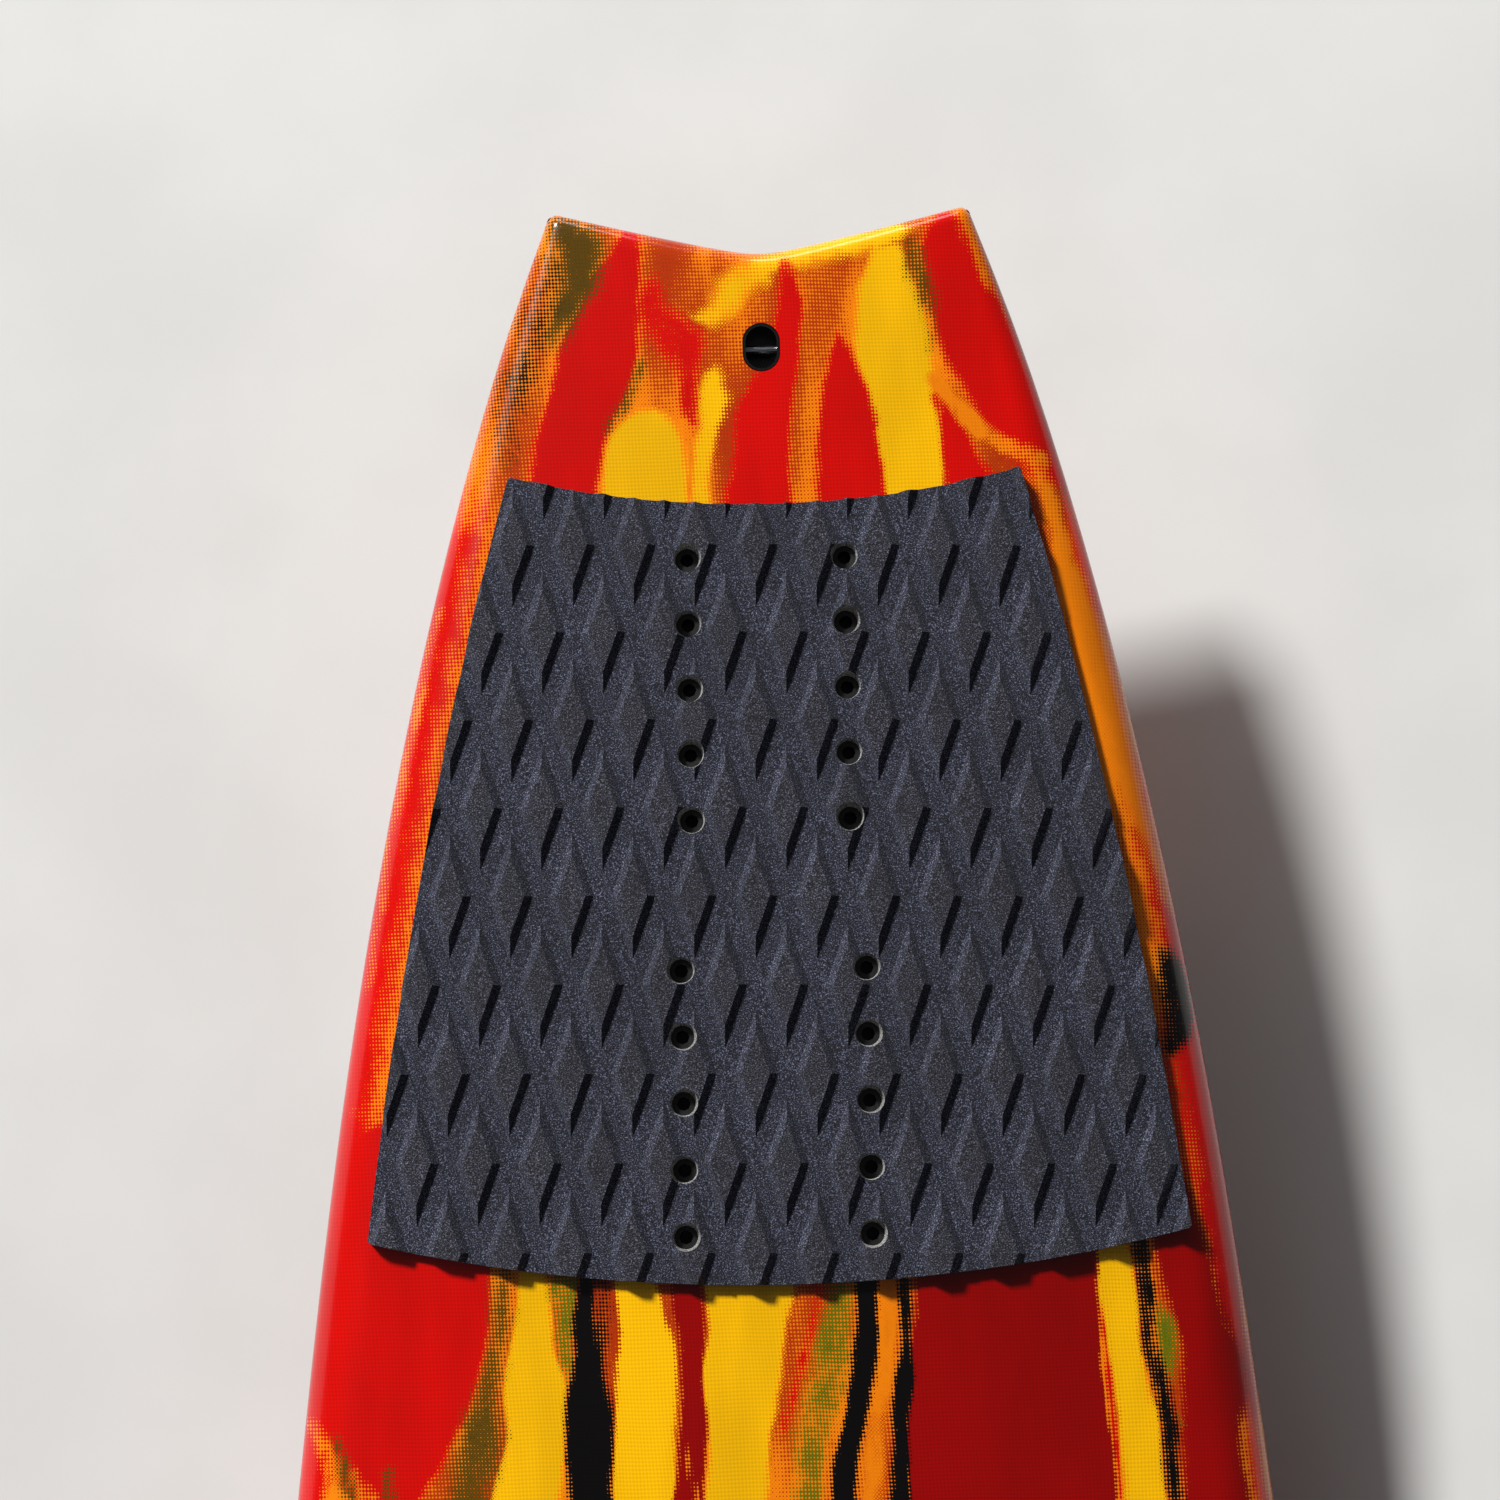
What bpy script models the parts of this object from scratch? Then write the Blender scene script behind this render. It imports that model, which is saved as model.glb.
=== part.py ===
"""Directional kite surfboard: a foam core with a wooden stringer under a glass deck and bottom, with
traction pads, threaded strap inserts, a leash plug, an air vent and three removable fins.

The frame: +Z is up out of the deck, +Y points to the tail and +X to the right of someone who looks
at the deck from the nose. Places along the board are distances d from the tail tips.
"""

import math

import bmesh
import bpy
import numpy as np
from mathutils import Matrix, Vector

MM = 0.001
GAP = 0.3 * MM

# Board outline, in metres: (distance from the nose, half width)
LENGTH = 1.686
HALF_WIDTHS = [
    (0, 0), (0.040, 0.057), (0.110, 0.0955), (0.200, 0.1275), (0.305, 0.1555), (0.440, 0.182),
    (0.580, 0.1995), (0.720, 0.2085), (0.860, 0.2095), (1.030, 0.2005), (1.193, 0.1846),
    (1.330, 0.1675), (1.480, 0.1405), (1.595, 0.1117), (1.645, 0.0958), (1.686, 0.0806),
]
NOTCH_DEPTH = 0.0192
NOTCH_ROUNDING = 0.10
TIP_RADIUS = 0.0035
NOTCH_REACH = 0.150

# Board section, each as (distance from the tail, value)
THICKNESS = [(0, 0.013), (0.06, 0.020), (0.15, 0.029), (0.30, 0.039), (0.50, 0.0465), (0.85, 0.051),
             (1.20, 0.046), (1.40, 0.037), (1.56, 0.026), (1.68, 0.015)]
APEX_SHARE = [(0, 0.35), (0.4, 0.38), (0.9, 0.42), (1.68, 0.50)]
DECK_CROWN = [(0, 0.0025), (0.3, 0.008), (0.85, 0.013), (1.4, 0.009), (1.68, 0.004)]
BOTTOM_CONCAVE = [(0, 0), (0.15, 0.002), (0.6, 0.003), (1.1, 0.001), (1.4, 0), (1.68, 0)]
DECK_RAIL_RADIUS = [(0, 0.005), (0.025, 0.008), (0.1, 0.013), (0.4, 0.021), (0.9, 0.026), (1.5, 0.018),
                    (1.68, 0.010)]
BOTTOM_RAIL_RADIUS = [(0, 0.003), (0.1, 0.005), (0.4, 0.009), (0.9, 0.014), (1.5, 0.012), (1.68, 0.008)]
TAIL_ROCKER, NOSE_ROCKER, FLAT_POINT = 0.045, 0.105, 0.84
SKIN = 1.5 * MM
CORE_INSET = SKIN + GAP
STRINGER = 3.4 * MM

# Traction pads
PAD_THICKNESS = 7.5 * MM
PAD_HOLE_R = 5.6 * MM
REAR_PAD = {"tail": 0.1179, "tail_sag": -0.0130, "nose": 0.4135, "nose_sag": -0.0185, "inset": 0.0180}
FRONT_PAD = {"tail": 0.646, "tail_sag": 0.0160, "nose": 0.966, "nose_sag": -0.0300, "inset": 0.0480}
PAD_SPLIT = 4 * MM

# Strap inserts: (first hole's distance from the tail, half spacing across, holes)
HOLE_PITCH = 0.025
INSERT_ROWS = {
    "rear_aft": (0.1384, 0.030, 5),
    "rear_fore": (0.2951, 0.035, 5),
    "front_aft": (0.721, 0.035, 2),
    "front_fore": (0.881, 0.035, 2),
}
BOSS_R, BOLT_R = 5.0 * MM, 2.6 * MM
STRIP_WIDTH, STRIP_DEPTH, STRIP_SINK, BOLT_DEPTH = 18 * MM, 11 * MM, 2.9 * MM, 11 * MM
BLOCKS = {"rear": (0.118, 0.404), "front": (0.697, 0.918)}
BLOCK_INNER, BLOCK_OUTER, BLOCK_FLOOR = 0.0175, 0.0485, 0.0175

# Leash plug, a cup with a steel pin across it
LEASH_AT = 0.0560
LEASH_HOLE = (12.0 * MM, 16.6 * MM)
LEASH_RIM, LEASH_WALL, LEASH_DEPTH = 0.9 * MM, 2.6 * MM, 12 * MM
PIN_R, PIN_DROP, PIN_LENGTH = 1.6 * MM, 5.0 * MM, 15 * MM

# Fin boxes: (distance from the tail, distance in from the rail or None on the centre line, toe-in)
FIN_PLACES = {"centre": (0.140, None, 0.0), "left": (0.330, 0.036, 3.0), "right": (0.330, 0.036, 3.0)}
BOX_LENGTH, BOX_WIDTH, BOX_DEPTH = 0.118, 0.026, 0.0155
TAB_AT, TAB_LENGTH, TAB_THICK, TAB_DEPTH = 0.028, 0.024, 5.6 * MM, 11.5 * MM
FIN_DEPTH, FIN_BASE, FIN_THICK, FIN_CANT = 0.115, 0.112, 6.5 * MM, 6.0
SCREW_R, SCREW_LENGTH, SCREW_TILT, SCREW_HOLE_R = 2.2 * MM, 5.0 * MM, 30.0, 2.65 * MM
SCREW_ENTRY, SCREW_TIP = 8.4 * MM, 6.8 * MM
SOCKET_R, SOCKET_DEPTH = 1.44 * MM, 2.6 * MM

# Air vent
VENT_AT = (0.017, 1.230)
VENT_R, VENT_FLANGE, VENT_BODY_R, VENT_DEPTH = 8.0 * MM, 2.5 * MM, 6.2 * MM, 13 * MM
VENT_HEAD_R, VENT_HEAD, VENT_SHANK_R, VENT_SHANK = 4.8 * MM, 2.2 * MM, 2.9 * MM, 8 * MM
SEAL_RING_R, SEAL_R = 4.2 * MM, 0.75 * MM

COLOURS = {
    "foam": ((0.86, 0.84, 0.78), 0.9, 0.0),
    "dense_foam": ((0.72, 0.62, 0.40), 0.85, 0.0),
    "wood": ((0.55, 0.36, 0.18), 0.7, 0.0),
    "resin_glass": ((0.80, 0.06, 0.01), 0.18, 0.0),
    "pad_foam": ((0.035, 0.036, 0.045), 0.85, 0.0),
    "black_plastic": ((0.015, 0.015, 0.016), 0.4, 0.0),
    "steel": ((0.62, 0.62, 0.64), 0.25, 1.0),
    "fin_glass": ((0.03, 0.03, 0.035), 0.3, 0.0),
    "rubber": ((0.02, 0.02, 0.02), 0.6, 0.0),
}


# ---------------------------------------------------------------- smooth curves

def natural_spline(points):
    """A function through (x, value) points, as smooth as a bent batten."""
    x, v = np.array(points, float).T
    step, count = np.diff(x), len(x)
    matrix, right = np.eye(count), np.zeros(count)
    for i in range(1, count - 1):
        matrix[i, i - 1:i + 2] = step[i - 1], 2 * (step[i - 1] + step[i]), step[i]
        right[i] = 6 * ((v[i + 1] - v[i]) / step[i] - (v[i] - v[i - 1]) / step[i - 1])
    bend = np.linalg.solve(matrix, right)

    def at(q):
        q = np.clip(np.asarray(q, float), x[0], x[-1])
        i = np.clip(np.searchsorted(x, q) - 1, 0, count - 2)
        before, after = (x[i + 1] - q) / step[i], (q - x[i]) / step[i]
        return (before * v[i] + after * v[i + 1]
                + ((before**3 - before) * bend[i] + (after**3 - after) * bend[i + 1]) * step[i]**2 / 6)

    return at


# The outline is drawn against the square root of the distance from the nose, which rounds the nose.
half_width_at = natural_spline([(math.sqrt(n), w) for n, w in HALF_WIDTHS])
thickness_at = natural_spline(THICKNESS)
apex_share_at = natural_spline(APEX_SHARE)
deck_crown_at = natural_spline(DECK_CROWN)
concave_at = natural_spline(BOTTOM_CONCAVE)
deck_rail_at = natural_spline(DECK_RAIL_RADIUS)
bottom_rail_at = natural_spline(BOTTOM_RAIL_RADIUS)


def half_width(d):
    return half_width_at(np.sqrt(np.clip(LENGTH - d, 0, None)))


def rocker(d):
    """Height of the bottom's centre line above its flat point."""
    tail = TAIL_ROCKER * np.clip(1 - d / FLAT_POINT, 0, None)**2.2
    nose = NOSE_ROCKER * np.clip((d - FLAT_POINT) / (LENGTH - FLAT_POINT), 0, None)**2.3
    return tail + nose


def tail_edge(u):
    """How far in from the tips the tail's edge is, at a share u of the half width from the middle."""
    vee = NOTCH_DEPTH * (math.hypot(1, NOTCH_ROUNDING) - np.hypot(u, NOTCH_ROUNDING))
    corner = TIP_RADIUS / HALF_WIDTHS[-1][1]
    into_corner = np.clip((np.abs(u) - 1 + corner) / corner, 0, 1)
    return vee + TIP_RADIUS * (1 - np.sqrt(1 - into_corner**2))


def outline_points():
    """The closed outline as (x, d) points, from the right tip round the nose to the left tip and back."""
    u = np.linspace(-1, 1, 121)
    d = tail_edge(u)
    tail = np.stack([u * half_width(d), d], 1)
    d = LENGTH - (LENGTH - TIP_RADIUS) * np.linspace(1, 0, 160)**2
    side = np.stack([half_width(d), d], 1)
    return np.concatenate([tail, side[1:], side[-2:0:-1] * [-1, 1]])


OUTLINE = outline_points()


def edge_distance(x, d):
    """Distance from each point to the outline."""
    start = OUTLINE
    along = np.roll(OUTLINE, -1, 0) - start
    flat = np.stack([np.ravel(x), np.ravel(d)], 1)
    out = np.empty(len(flat))
    for i in range(0, len(flat), 4096):
        to = flat[i:i + 4096, None] - start
        t = np.clip((to * along).sum(2) / (along**2).sum(1), 0, 1)
        out[i:i + 4096] = np.linalg.norm(to - t[..., None] * along, axis=2).min(1)
    return out.reshape(np.shape(x))


def rounding(e, radius):
    """Share of the full height at distance e in from an edge that is rounded to that radius."""
    return np.sqrt(1 - (1 - np.clip(e / radius, 0, 1))**2)


def apex_height(d):
    return rocker(d) + apex_share_at(d) * thickness_at(d)


def deck_height(x, d, inset=0.0, e=None):
    """Height of the deck, or of a surface that much inside it."""
    e = edge_distance(x, d) - inset if e is None else e
    share = np.clip(np.abs(x) / np.maximum(half_width(d), 1e-4), 0, 1)
    full = rocker(d) + thickness_at(d) - deck_crown_at(d) * share**2.2 - inset
    return apex_height(d) + (full - apex_height(d)) * rounding(e, deck_rail_at(d) - inset)


def bottom_height(x, d, inset=0.0, e=None):
    """Height of the bottom, or of a surface that much inside it."""
    e = edge_distance(x, d) - inset if e is None else e
    share = np.clip(np.abs(x) / np.maximum(half_width(d), 1e-4), 0, 1)
    full = rocker(d) + concave_at(d) * (1 - share**2) + inset
    return apex_height(d) - (apex_height(d) - full) * rounding(e, bottom_rail_at(d) - inset)


def board_y(d):
    return LENGTH / 2 - d


def surface_frame(height, x, d):
    """A matrix at a point of the deck or bottom, with its Z along the surface's normal and Y to the tail."""
    step = 2 * MM
    slope_x = float(height(x + step, d) - height(x - step, d)) / (2 * step)
    slope_y = float(height(x, d - step) - height(x, d + step)) / (2 * step)
    normal = Vector((-slope_x, -slope_y, 1)).normalized()
    across = Vector((1, 0, slope_x)).normalized()
    along = normal.cross(across)
    turn = Matrix((across, along, normal)).transposed().to_4x4()
    return Matrix.Translation((x, board_y(d), float(height(x, d)))) @ turn


# ---------------------------------------------------------------- objects

def clear_scene():
    for obj in list(bpy.data.objects):
        bpy.data.objects.remove(obj)


def material(kind):
    found = bpy.data.materials.get(kind)
    if found:
        return found
    colour, roughness, metallic = COLOURS[kind]
    made = bpy.data.materials.new(kind)
    made.use_nodes = True
    shader = made.node_tree.nodes["Principled BSDF"]
    shader.inputs["Base Color"].default_value = (*colour, 1)
    shader.inputs["Roughness"].default_value = roughness
    shader.inputs["Metallic"].default_value = metallic
    return made


def add_object(name, bm, kind=None, matrix=None, smooth=False):
    """Makes an object of a bmesh. One with no material is a cutter."""
    bmesh.ops.recalc_face_normals(bm, faces=bm.faces)
    mesh = bpy.data.meshes.new(name)
    bm.to_mesh(mesh)
    bm.free()
    obj = bpy.data.objects.new(name, mesh)
    bpy.context.scene.collection.objects.link(obj)
    if matrix is not None:
        obj.matrix_world = matrix
    if kind:
        mesh.materials.append(material(kind))
        if smooth:
            mesh.shade_smooth()
            mesh.set_sharp_from_angle(angle=math.radians(35))
    else:
        obj.hide_render = True
        obj.display_type = "WIRE"
    return obj


def boolean(obj, cutter, operation="DIFFERENCE"):
    modifier = obj.modifiers.new(operation.lower(), "BOOLEAN")
    modifier.operation = operation
    modifier.object = cutter
    return obj


# ---------------------------------------------------------------- plain shapes

def prism(outline, low, high):
    """An upright prism on a list of (x, y) points."""
    bm = bmesh.new()
    face = bm.faces.new([bm.verts.new((x, y, low)) for x, y in outline])
    raised = bmesh.ops.extrude_face_region(bm, geom=[face])["geom"]
    verts = [v for v in raised if isinstance(v, bmesh.types.BMVert)]
    bmesh.ops.translate(bm, verts=verts, vec=(0, 0, high - low))
    return bm


def circle(radius, count, centre=(0, 0), start=0.0):
    turns = [start + 2 * math.pi * i / count for i in range(count)]
    return [(centre[0] + radius * math.cos(a), centre[1] + radius * math.sin(a)) for a in turns]


def stadium(width, length, count=10):
    """A slot shape with round ends, its length along Y."""
    radius, straight = width / 2, (length - width) / 2
    half = [math.pi * i / count for i in range(count + 1)]
    top = [(radius * math.cos(a), straight + radius * math.sin(a)) for a in half]
    return top + [(-x, -y) for x, y in top]


def rectangle(width, length, centre=(0, 0)):
    x, y = width / 2, length / 2
    return [(centre[0] + a * x, centre[1] + b * y) for a, b in ((1, 1), (-1, 1), (-1, -1), (1, -1))]


def turned(profile, count):
    """A solid turned about Z from a closed profile of (radius, z) points."""
    bm = bmesh.new()
    verts = [bm.verts.new((r, 0, z)) for r, z in profile]
    edges = [bm.edges.new(pair) for pair in zip(verts, verts[1:])]
    if profile[0][0] > 0:
        edges.append(bm.edges.new((verts[-1], verts[0])))
    bmesh.ops.spin(bm, geom=verts + edges, axis=(0, 0, 1), cent=(0, 0, 0), steps=count,
                   angle=2 * math.pi, use_duplicate=False)
    bmesh.ops.remove_doubles(bm, verts=bm.verts, dist=1e-6)
    return bm


def merged(shapes):
    """Several bmeshes, which don't touch, as one cutter."""
    whole = bmesh.new()
    for shape in shapes:
        part = bpy.data.meshes.new("part")
        shape.to_mesh(part)
        shape.free()
        whole.from_mesh(part)
        bpy.data.meshes.remove(part)
    return whole


def placed(bm, matrix):
    bmesh.ops.transform(bm, matrix=matrix, verts=bm.verts)
    return bm


# ---------------------------------------------------------------- board surfaces

TAIL_ROWS = [0.006 * (1 - math.cos(math.radians(a))) for a in (0, 35, 62, 90)]
BODY_ROWS = [0.018, 0.040, 0.075, 0.125, 0.19, 0.27, 0.36, 0.46, 0.57, 0.69, 0.82, 0.95, 1.08, 1.20, 1.31,
             1.40, 1.48, 1.545, 1.595, 1.632, 1.658, 1.675, 1.686]
RAIL_STEPS, DECK_STEPS = 4, 4


def board_grid(inset):
    """(x, d) of a grid over the outline, drawn in by inset. The first row is the tail's edge."""
    base = np.array(TAIL_ROWS + BODY_ROWS)
    width = half_width(base)
    rail = np.minimum(deck_rail_at(base), 0.45 * width)
    turn = np.radians(np.linspace(0, 90, RAIL_STEPS + 1))
    outer = width[:, None] - rail[:, None] * (1 - np.cos(turn))
    inner = (width - rail)[:, None] * np.linspace(1, 0, DECK_STEPS + 1)[1:]
    half = np.concatenate([outer, inner], 1)
    u = np.concatenate([-half, half[:, -2::-1]], 1) / np.maximum(width, 1e-9)[:, None]
    u[-1] = u[-2]
    fade = np.clip(1 - base / NOTCH_REACH, 0, 1)[:, None]
    to_nose = np.clip(1 - (LENGTH - base) / NOTCH_REACH, 0, 1)[:, None]
    d = base[:, None] + tail_edge(u) * fade
    x = u * np.clip(half_width(d) - inset, 0, None)
    return x, d + inset * (fade - to_nose)


def grid_heights(height, x, d, inset):
    """The surface's heights on a grid, and exactly the rail's height round the grid's border."""
    e = np.clip(edge_distance(x, d) - inset, 0, None)
    e[0] = e[-1] = 0
    e[:, 0] = e[:, -1] = 0
    return height(x, d, inset, e)


def surface_verts(bm, x, d, z):
    return [[bm.verts.new((x[i, j], board_y(d[i, j]), z[i, j])) for j in range(x.shape[1])]
            for i in range(x.shape[0])]


def surface_faces(bm, rows):
    for a, b in zip(rows, rows[1:]):
        for j in range(len(a) - 1):
            bm.faces.new((a[j], a[j + 1], b[j + 1], b[j]))


def border(rows):
    """The grid's border, all round."""
    return rows[0][:-1] + [r[-1] for r in rows[:-1]] + rows[-1][::-1][:-1] + [r[0] for r in rows[::-1][:-1]]


def shell_of(height, lift):
    """A skin between the board's surface and one SKIN inside it, open along the rail's widest line."""
    bm = bmesh.new()
    rims = []
    for inset in (0.0, SKIN):
        x, d = board_grid(inset)
        rows = surface_verts(bm, x, d, grid_heights(height, x, d, inset) + lift)
        surface_faces(bm, rows)
        rims.append(border(rows))
    for i in range(len(rims[0])):
        bm.faces.new((rims[0][i - 1], rims[0][i], rims[1][i], rims[1][i - 1]))
    return finish_surface(bm)


def core_volume():
    """The space inside both skins."""
    bm = bmesh.new()
    x, d = board_grid(CORE_INSET)
    for height in (deck_height, bottom_height):
        surface_faces(bm, surface_verts(bm, x, d, grid_heights(height, x, d, CORE_INSET)))
    return finish_surface(bm)


def finish_surface(bm):
    bmesh.ops.remove_doubles(bm, verts=bm.verts, dist=2e-5)
    bmesh.ops.dissolve_degenerate(bm, edges=bm.edges, dist=1e-6)
    return bm


# ---------------------------------------------------------------- pads

PAD_UNDERCUT = 5 * MM


def pad_solid(pad, sides, rows=12, columns=10):
    """A pad on the deck, reaching into it. sides is its range across, as shares of its half width."""
    bm = bmesh.new()
    u = np.linspace(sides[0], sides[1], columns + 1)
    v = np.linspace(0, 1, rows + 1)[:, None]
    tail = pad["tail"] + pad["tail_sag"] * u**2
    nose = pad["nose"] + pad["nose_sag"] * u**2
    d = tail * (1 - v) + nose * v
    half = half_width(d) - pad["inset"]
    x = u * half
    for i, share in ((0, sides[0]), (-1, sides[1])):
        if share == 0:
            x[:, i] = PAD_SPLIT * (1 if i == 0 else -1)
    deck = deck_height(x, d)
    sheets = [surface_verts(bm, x, d, deck + rise) for rise in (-PAD_UNDERCUT, PAD_THICKNESS)]
    for sheet in sheets:
        surface_faces(bm, sheet)
    low, high = border(sheets[0]), border(sheets[1])
    for i in range(len(low)):
        bm.faces.new((low[i - 1], low[i], high[i], high[i - 1]))
    return bm


def deck_under_pads():
    """A solid whose top is the deck skin's own top, one GAP higher."""
    bm = bmesh.new()
    x, d = board_grid(0.0)
    top = grid_heights(deck_height, x, d, 0.0) + GAP * 1.5
    sheets = [surface_verts(bm, x, d, top - drop) for drop in (0.06, 0)]
    for sheet in sheets:
        surface_faces(bm, sheet)
    low, high = border(sheets[0]), border(sheets[1])
    for i in range(len(low)):
        bm.faces.new((low[i - 1], low[i], high[i], high[i - 1]))
    return add_object("deck_under_pads", finish_surface(bm))


def insert_holes(rows):
    """Each strap hole of those rows, as (x, d)."""
    return [(side * half, first + i * HOLE_PITCH) for first, half, count in (INSERT_ROWS[r] for r in rows)
            for side in (-1, 1) for i in range(count)]


def hole_cutter(name, holes, radius, depth, rise):
    shapes = [placed(prism(circle(radius, 12), -depth, rise), surface_frame(deck_height, x, d))
              for x, d in holes]
    return add_object(name, merged(shapes))


def build_pads():
    under = deck_under_pads()
    rear = add_object("rear_pad", pad_solid(REAR_PAD, (-1, 1)), "pad_foam")
    boolean(rear, under)
    boolean(rear, hole_cutter("rear_pad_holes", insert_holes(["rear_aft", "rear_fore"]), PAD_HOLE_R,
                              6 * MM, 14 * MM))
    holes = insert_holes(["front_aft", "front_fore"])
    for name, sides, sign in (("left", (-1, 0), -1), ("right", (0, 1), 1)):
        pad = add_object("front_pad_" + name, pad_solid(FRONT_PAD, sides, 12, 5), "pad_foam")
        boolean(pad, under)
        mine = [h for h in holes if h[0] * sign > 0]
        boolean(pad, hole_cutter(f"front_pad_{name}_holes", mine, PAD_HOLE_R, 6 * MM, 14 * MM))


# ---------------------------------------------------------------- strap inserts

def strip_frame(row, side):
    """Frame of one insert strip, on the deck over its middle."""
    first, half, count = INSERT_ROWS[row]
    return surface_frame(deck_height, side * half, first + (count - 1) * HOLE_PITCH / 2)


def strip_length(row):
    return (INSERT_ROWS[row][2] - 1) * HOLE_PITCH + STRIP_WIDTH


def build_strip(row, side, label):
    """A moulded bar with a threaded boss at each hole, which stands up through the deck skin."""
    first, half, count = INSERT_ROWS[row]
    frame = strip_frame(row, side)
    strip = add_object(f"strap_insert_{row}_{label}",
                       prism(stadium(STRIP_WIDTH, strip_length(row), 6), -STRIP_SINK - STRIP_DEPTH,
                             -STRIP_SINK), "black_plastic", frame)
    bosses, bores = [], []
    for i in range(count):
        at = surface_frame(deck_height, side * half, first + i * HOLE_PITCH)
        centre = frame.inverted() @ at.translation
        spot = (centre.x, centre.y)
        bosses.append(prism(circle(BOSS_R, 12, spot), -STRIP_SINK - 2 * MM, centre.z))
        bores.append(prism(circle(BOLT_R, 8, spot), centre.z - BOLT_DEPTH, centre.z + 2 * MM))
    boolean(strip, add_object(strip.name + "_bosses", merged(bosses), None, frame), "UNION")
    boolean(strip, add_object(strip.name + "_bores", merged(bores), None, frame))


def block_cutter(name, place, side, grow):
    """The pocket for a block of dense foam, from its floor up through the deck."""
    start, end = BLOCKS[place]
    across = (BLOCK_INNER + BLOCK_OUTER) / 2 * side
    frame = surface_frame(deck_height, across, (start + end) / 2)
    box = prism(rectangle(BLOCK_OUTER - BLOCK_INNER + 2 * grow, end - start + 2 * grow),
                -BLOCK_FLOOR - grow, 12 * MM)
    return add_object(name, box, None, frame)


def build_blocks(pockets):
    """Dense foam under each pair of insert strips, cut from the core's own shape."""
    for place in BLOCKS:
        for side, label in ((-1, "left"), (1, "right")):
            name = f"insert_block_{place}_{label}"
            block = add_object(name, core_volume(), "dense_foam")
            boolean(block, block_cutter(name + "_shape", place, side, 0), "INTERSECT")
            rows = [r for r in INSERT_ROWS if r.startswith(place)]
            shapes = [placed(prism(stadium(STRIP_WIDTH + 2 * GAP, strip_length(r) + 2 * GAP, 6),
                                   -STRIP_SINK - STRIP_DEPTH - GAP, 8 * MM), strip_frame(r, side))
                      for r in rows]
            boolean(block, add_object(name + "_slots", merged(shapes)))
            pockets.append(block_cutter(name + "_pocket", place, side, GAP))


# ---------------------------------------------------------------- leash plug

def build_leash_plug(deck, pockets):
    frame = surface_frame(deck_height, 0, LEASH_AT)
    width, length = LEASH_HOLE
    rim, wall = 2 * LEASH_RIM, 2 * LEASH_WALL
    cup = add_object("leash_cup", prism(stadium(width + wall, length + wall), -LEASH_DEPTH, -2.2 * MM),
                     "black_plastic", frame)
    collar = prism(stadium(width + rim, length + rim), -3.5 * MM, 0)
    boolean(cup, add_object("leash_collar", collar, None, frame), "UNION")
    hollow = prism(stadium(width, length), -LEASH_DEPTH + 1.6 * MM, 3 * MM)
    boolean(cup, add_object("leash_hollow", hollow, None, frame))
    across = frame @ Matrix.Translation((0, 0, -PIN_DROP)) @ Matrix.Rotation(math.pi / 2, 4, "Y")
    boolean(cup, add_object("leash_pin_seat", prism(circle(PIN_R + 0.25 * MM, 12), -7.8 * MM, 7.8 * MM),
                            None, across))
    add_object("leash_pin", prism(circle(PIN_R, 12), -PIN_LENGTH / 2, PIN_LENGTH / 2), "steel", across, True)
    opening = prism(stadium(width + rim + 2 * GAP, length + rim + 2 * GAP), -4 * MM, 4 * MM)
    boolean(deck, add_object("leash_opening", opening, None, frame))
    pocket = prism(stadium(width + wall + 2 * GAP, length + wall + 2 * GAP), -LEASH_DEPTH - GAP, 8 * MM)
    pockets.append(add_object("leash_pocket", pocket, None, frame))


# ---------------------------------------------------------------- fins

def fin_place(label):
    """(x, d, frame) of a fin box. The frame is on the bottom, with Z into the board."""
    d, from_rail, toe = FIN_PLACES[label]
    side = {"centre": 0, "left": -1, "right": 1}[label]
    x = side * (float(half_width(d)) - from_rail) if side else 0.0
    turn = Matrix.Rotation(math.radians(toe) * side, 4, "Z")
    return side, surface_frame(bottom_height, x, d) @ turn


def fin_blade(side):
    """The blade below its box, raked to the tail. A side fin is flat on its inner face."""
    spans, chords = 9, 9
    bm = bmesh.new()
    faces = []
    for face_sign in (-1, 1):
        rows = []
        for i in range(spans + 1):
            s = math.sin(math.pi / 2 * i / spans)
            chord = FIN_BASE * max(1 - s**1.4, 0)**0.75
            trailing = FIN_BASE / 2 - 0.010 * math.sin(math.pi * s) + 0.026 * s * s
            thick = FIN_THICK * (1 - 0.7 * s) * (1 if chord > 0 else 0)
            row = []
            for j in range(chords + 1):
                c = (1 - math.cos(math.pi * j / chords)) / 2
                swell = 2.6 * math.sqrt(c) * (1 - c)
                share = 0.5 if side == 0 else (0.85 if face_sign == side else 0.15)
                x = face_sign * thick * swell * share
                row.append(bm.verts.new((x, trailing - chord * (1 - c), -GAP - FIN_DEPTH * s)))
            rows.append(row)
        surface_faces(bm, rows)
        faces.append(rows)
    base = [faces[0][0], faces[1][0]]
    for j in range(chords):
        corners = (base[0][j], base[0][j + 1], base[1][j + 1], base[1][j])
        bm.faces.new(corners)
    finish_surface(bm)
    return bm


def fin_tab(y):
    return prism(rectangle(TAB_THICK, TAB_LENGTH, (0, y)), -0.7 * MM, TAB_DEPTH)


def screw_frame(frame, side, y):
    """Frame of a grub screw in its box: Z runs in along the screw, from where its axis meets the face."""
    hand = -side if side else 1
    lean = Matrix.Rotation(math.radians(-SCREW_TILT) * hand, 4, "Y")
    return frame @ Matrix.Translation((hand * SCREW_ENTRY, y, 0)) @ lean


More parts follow.
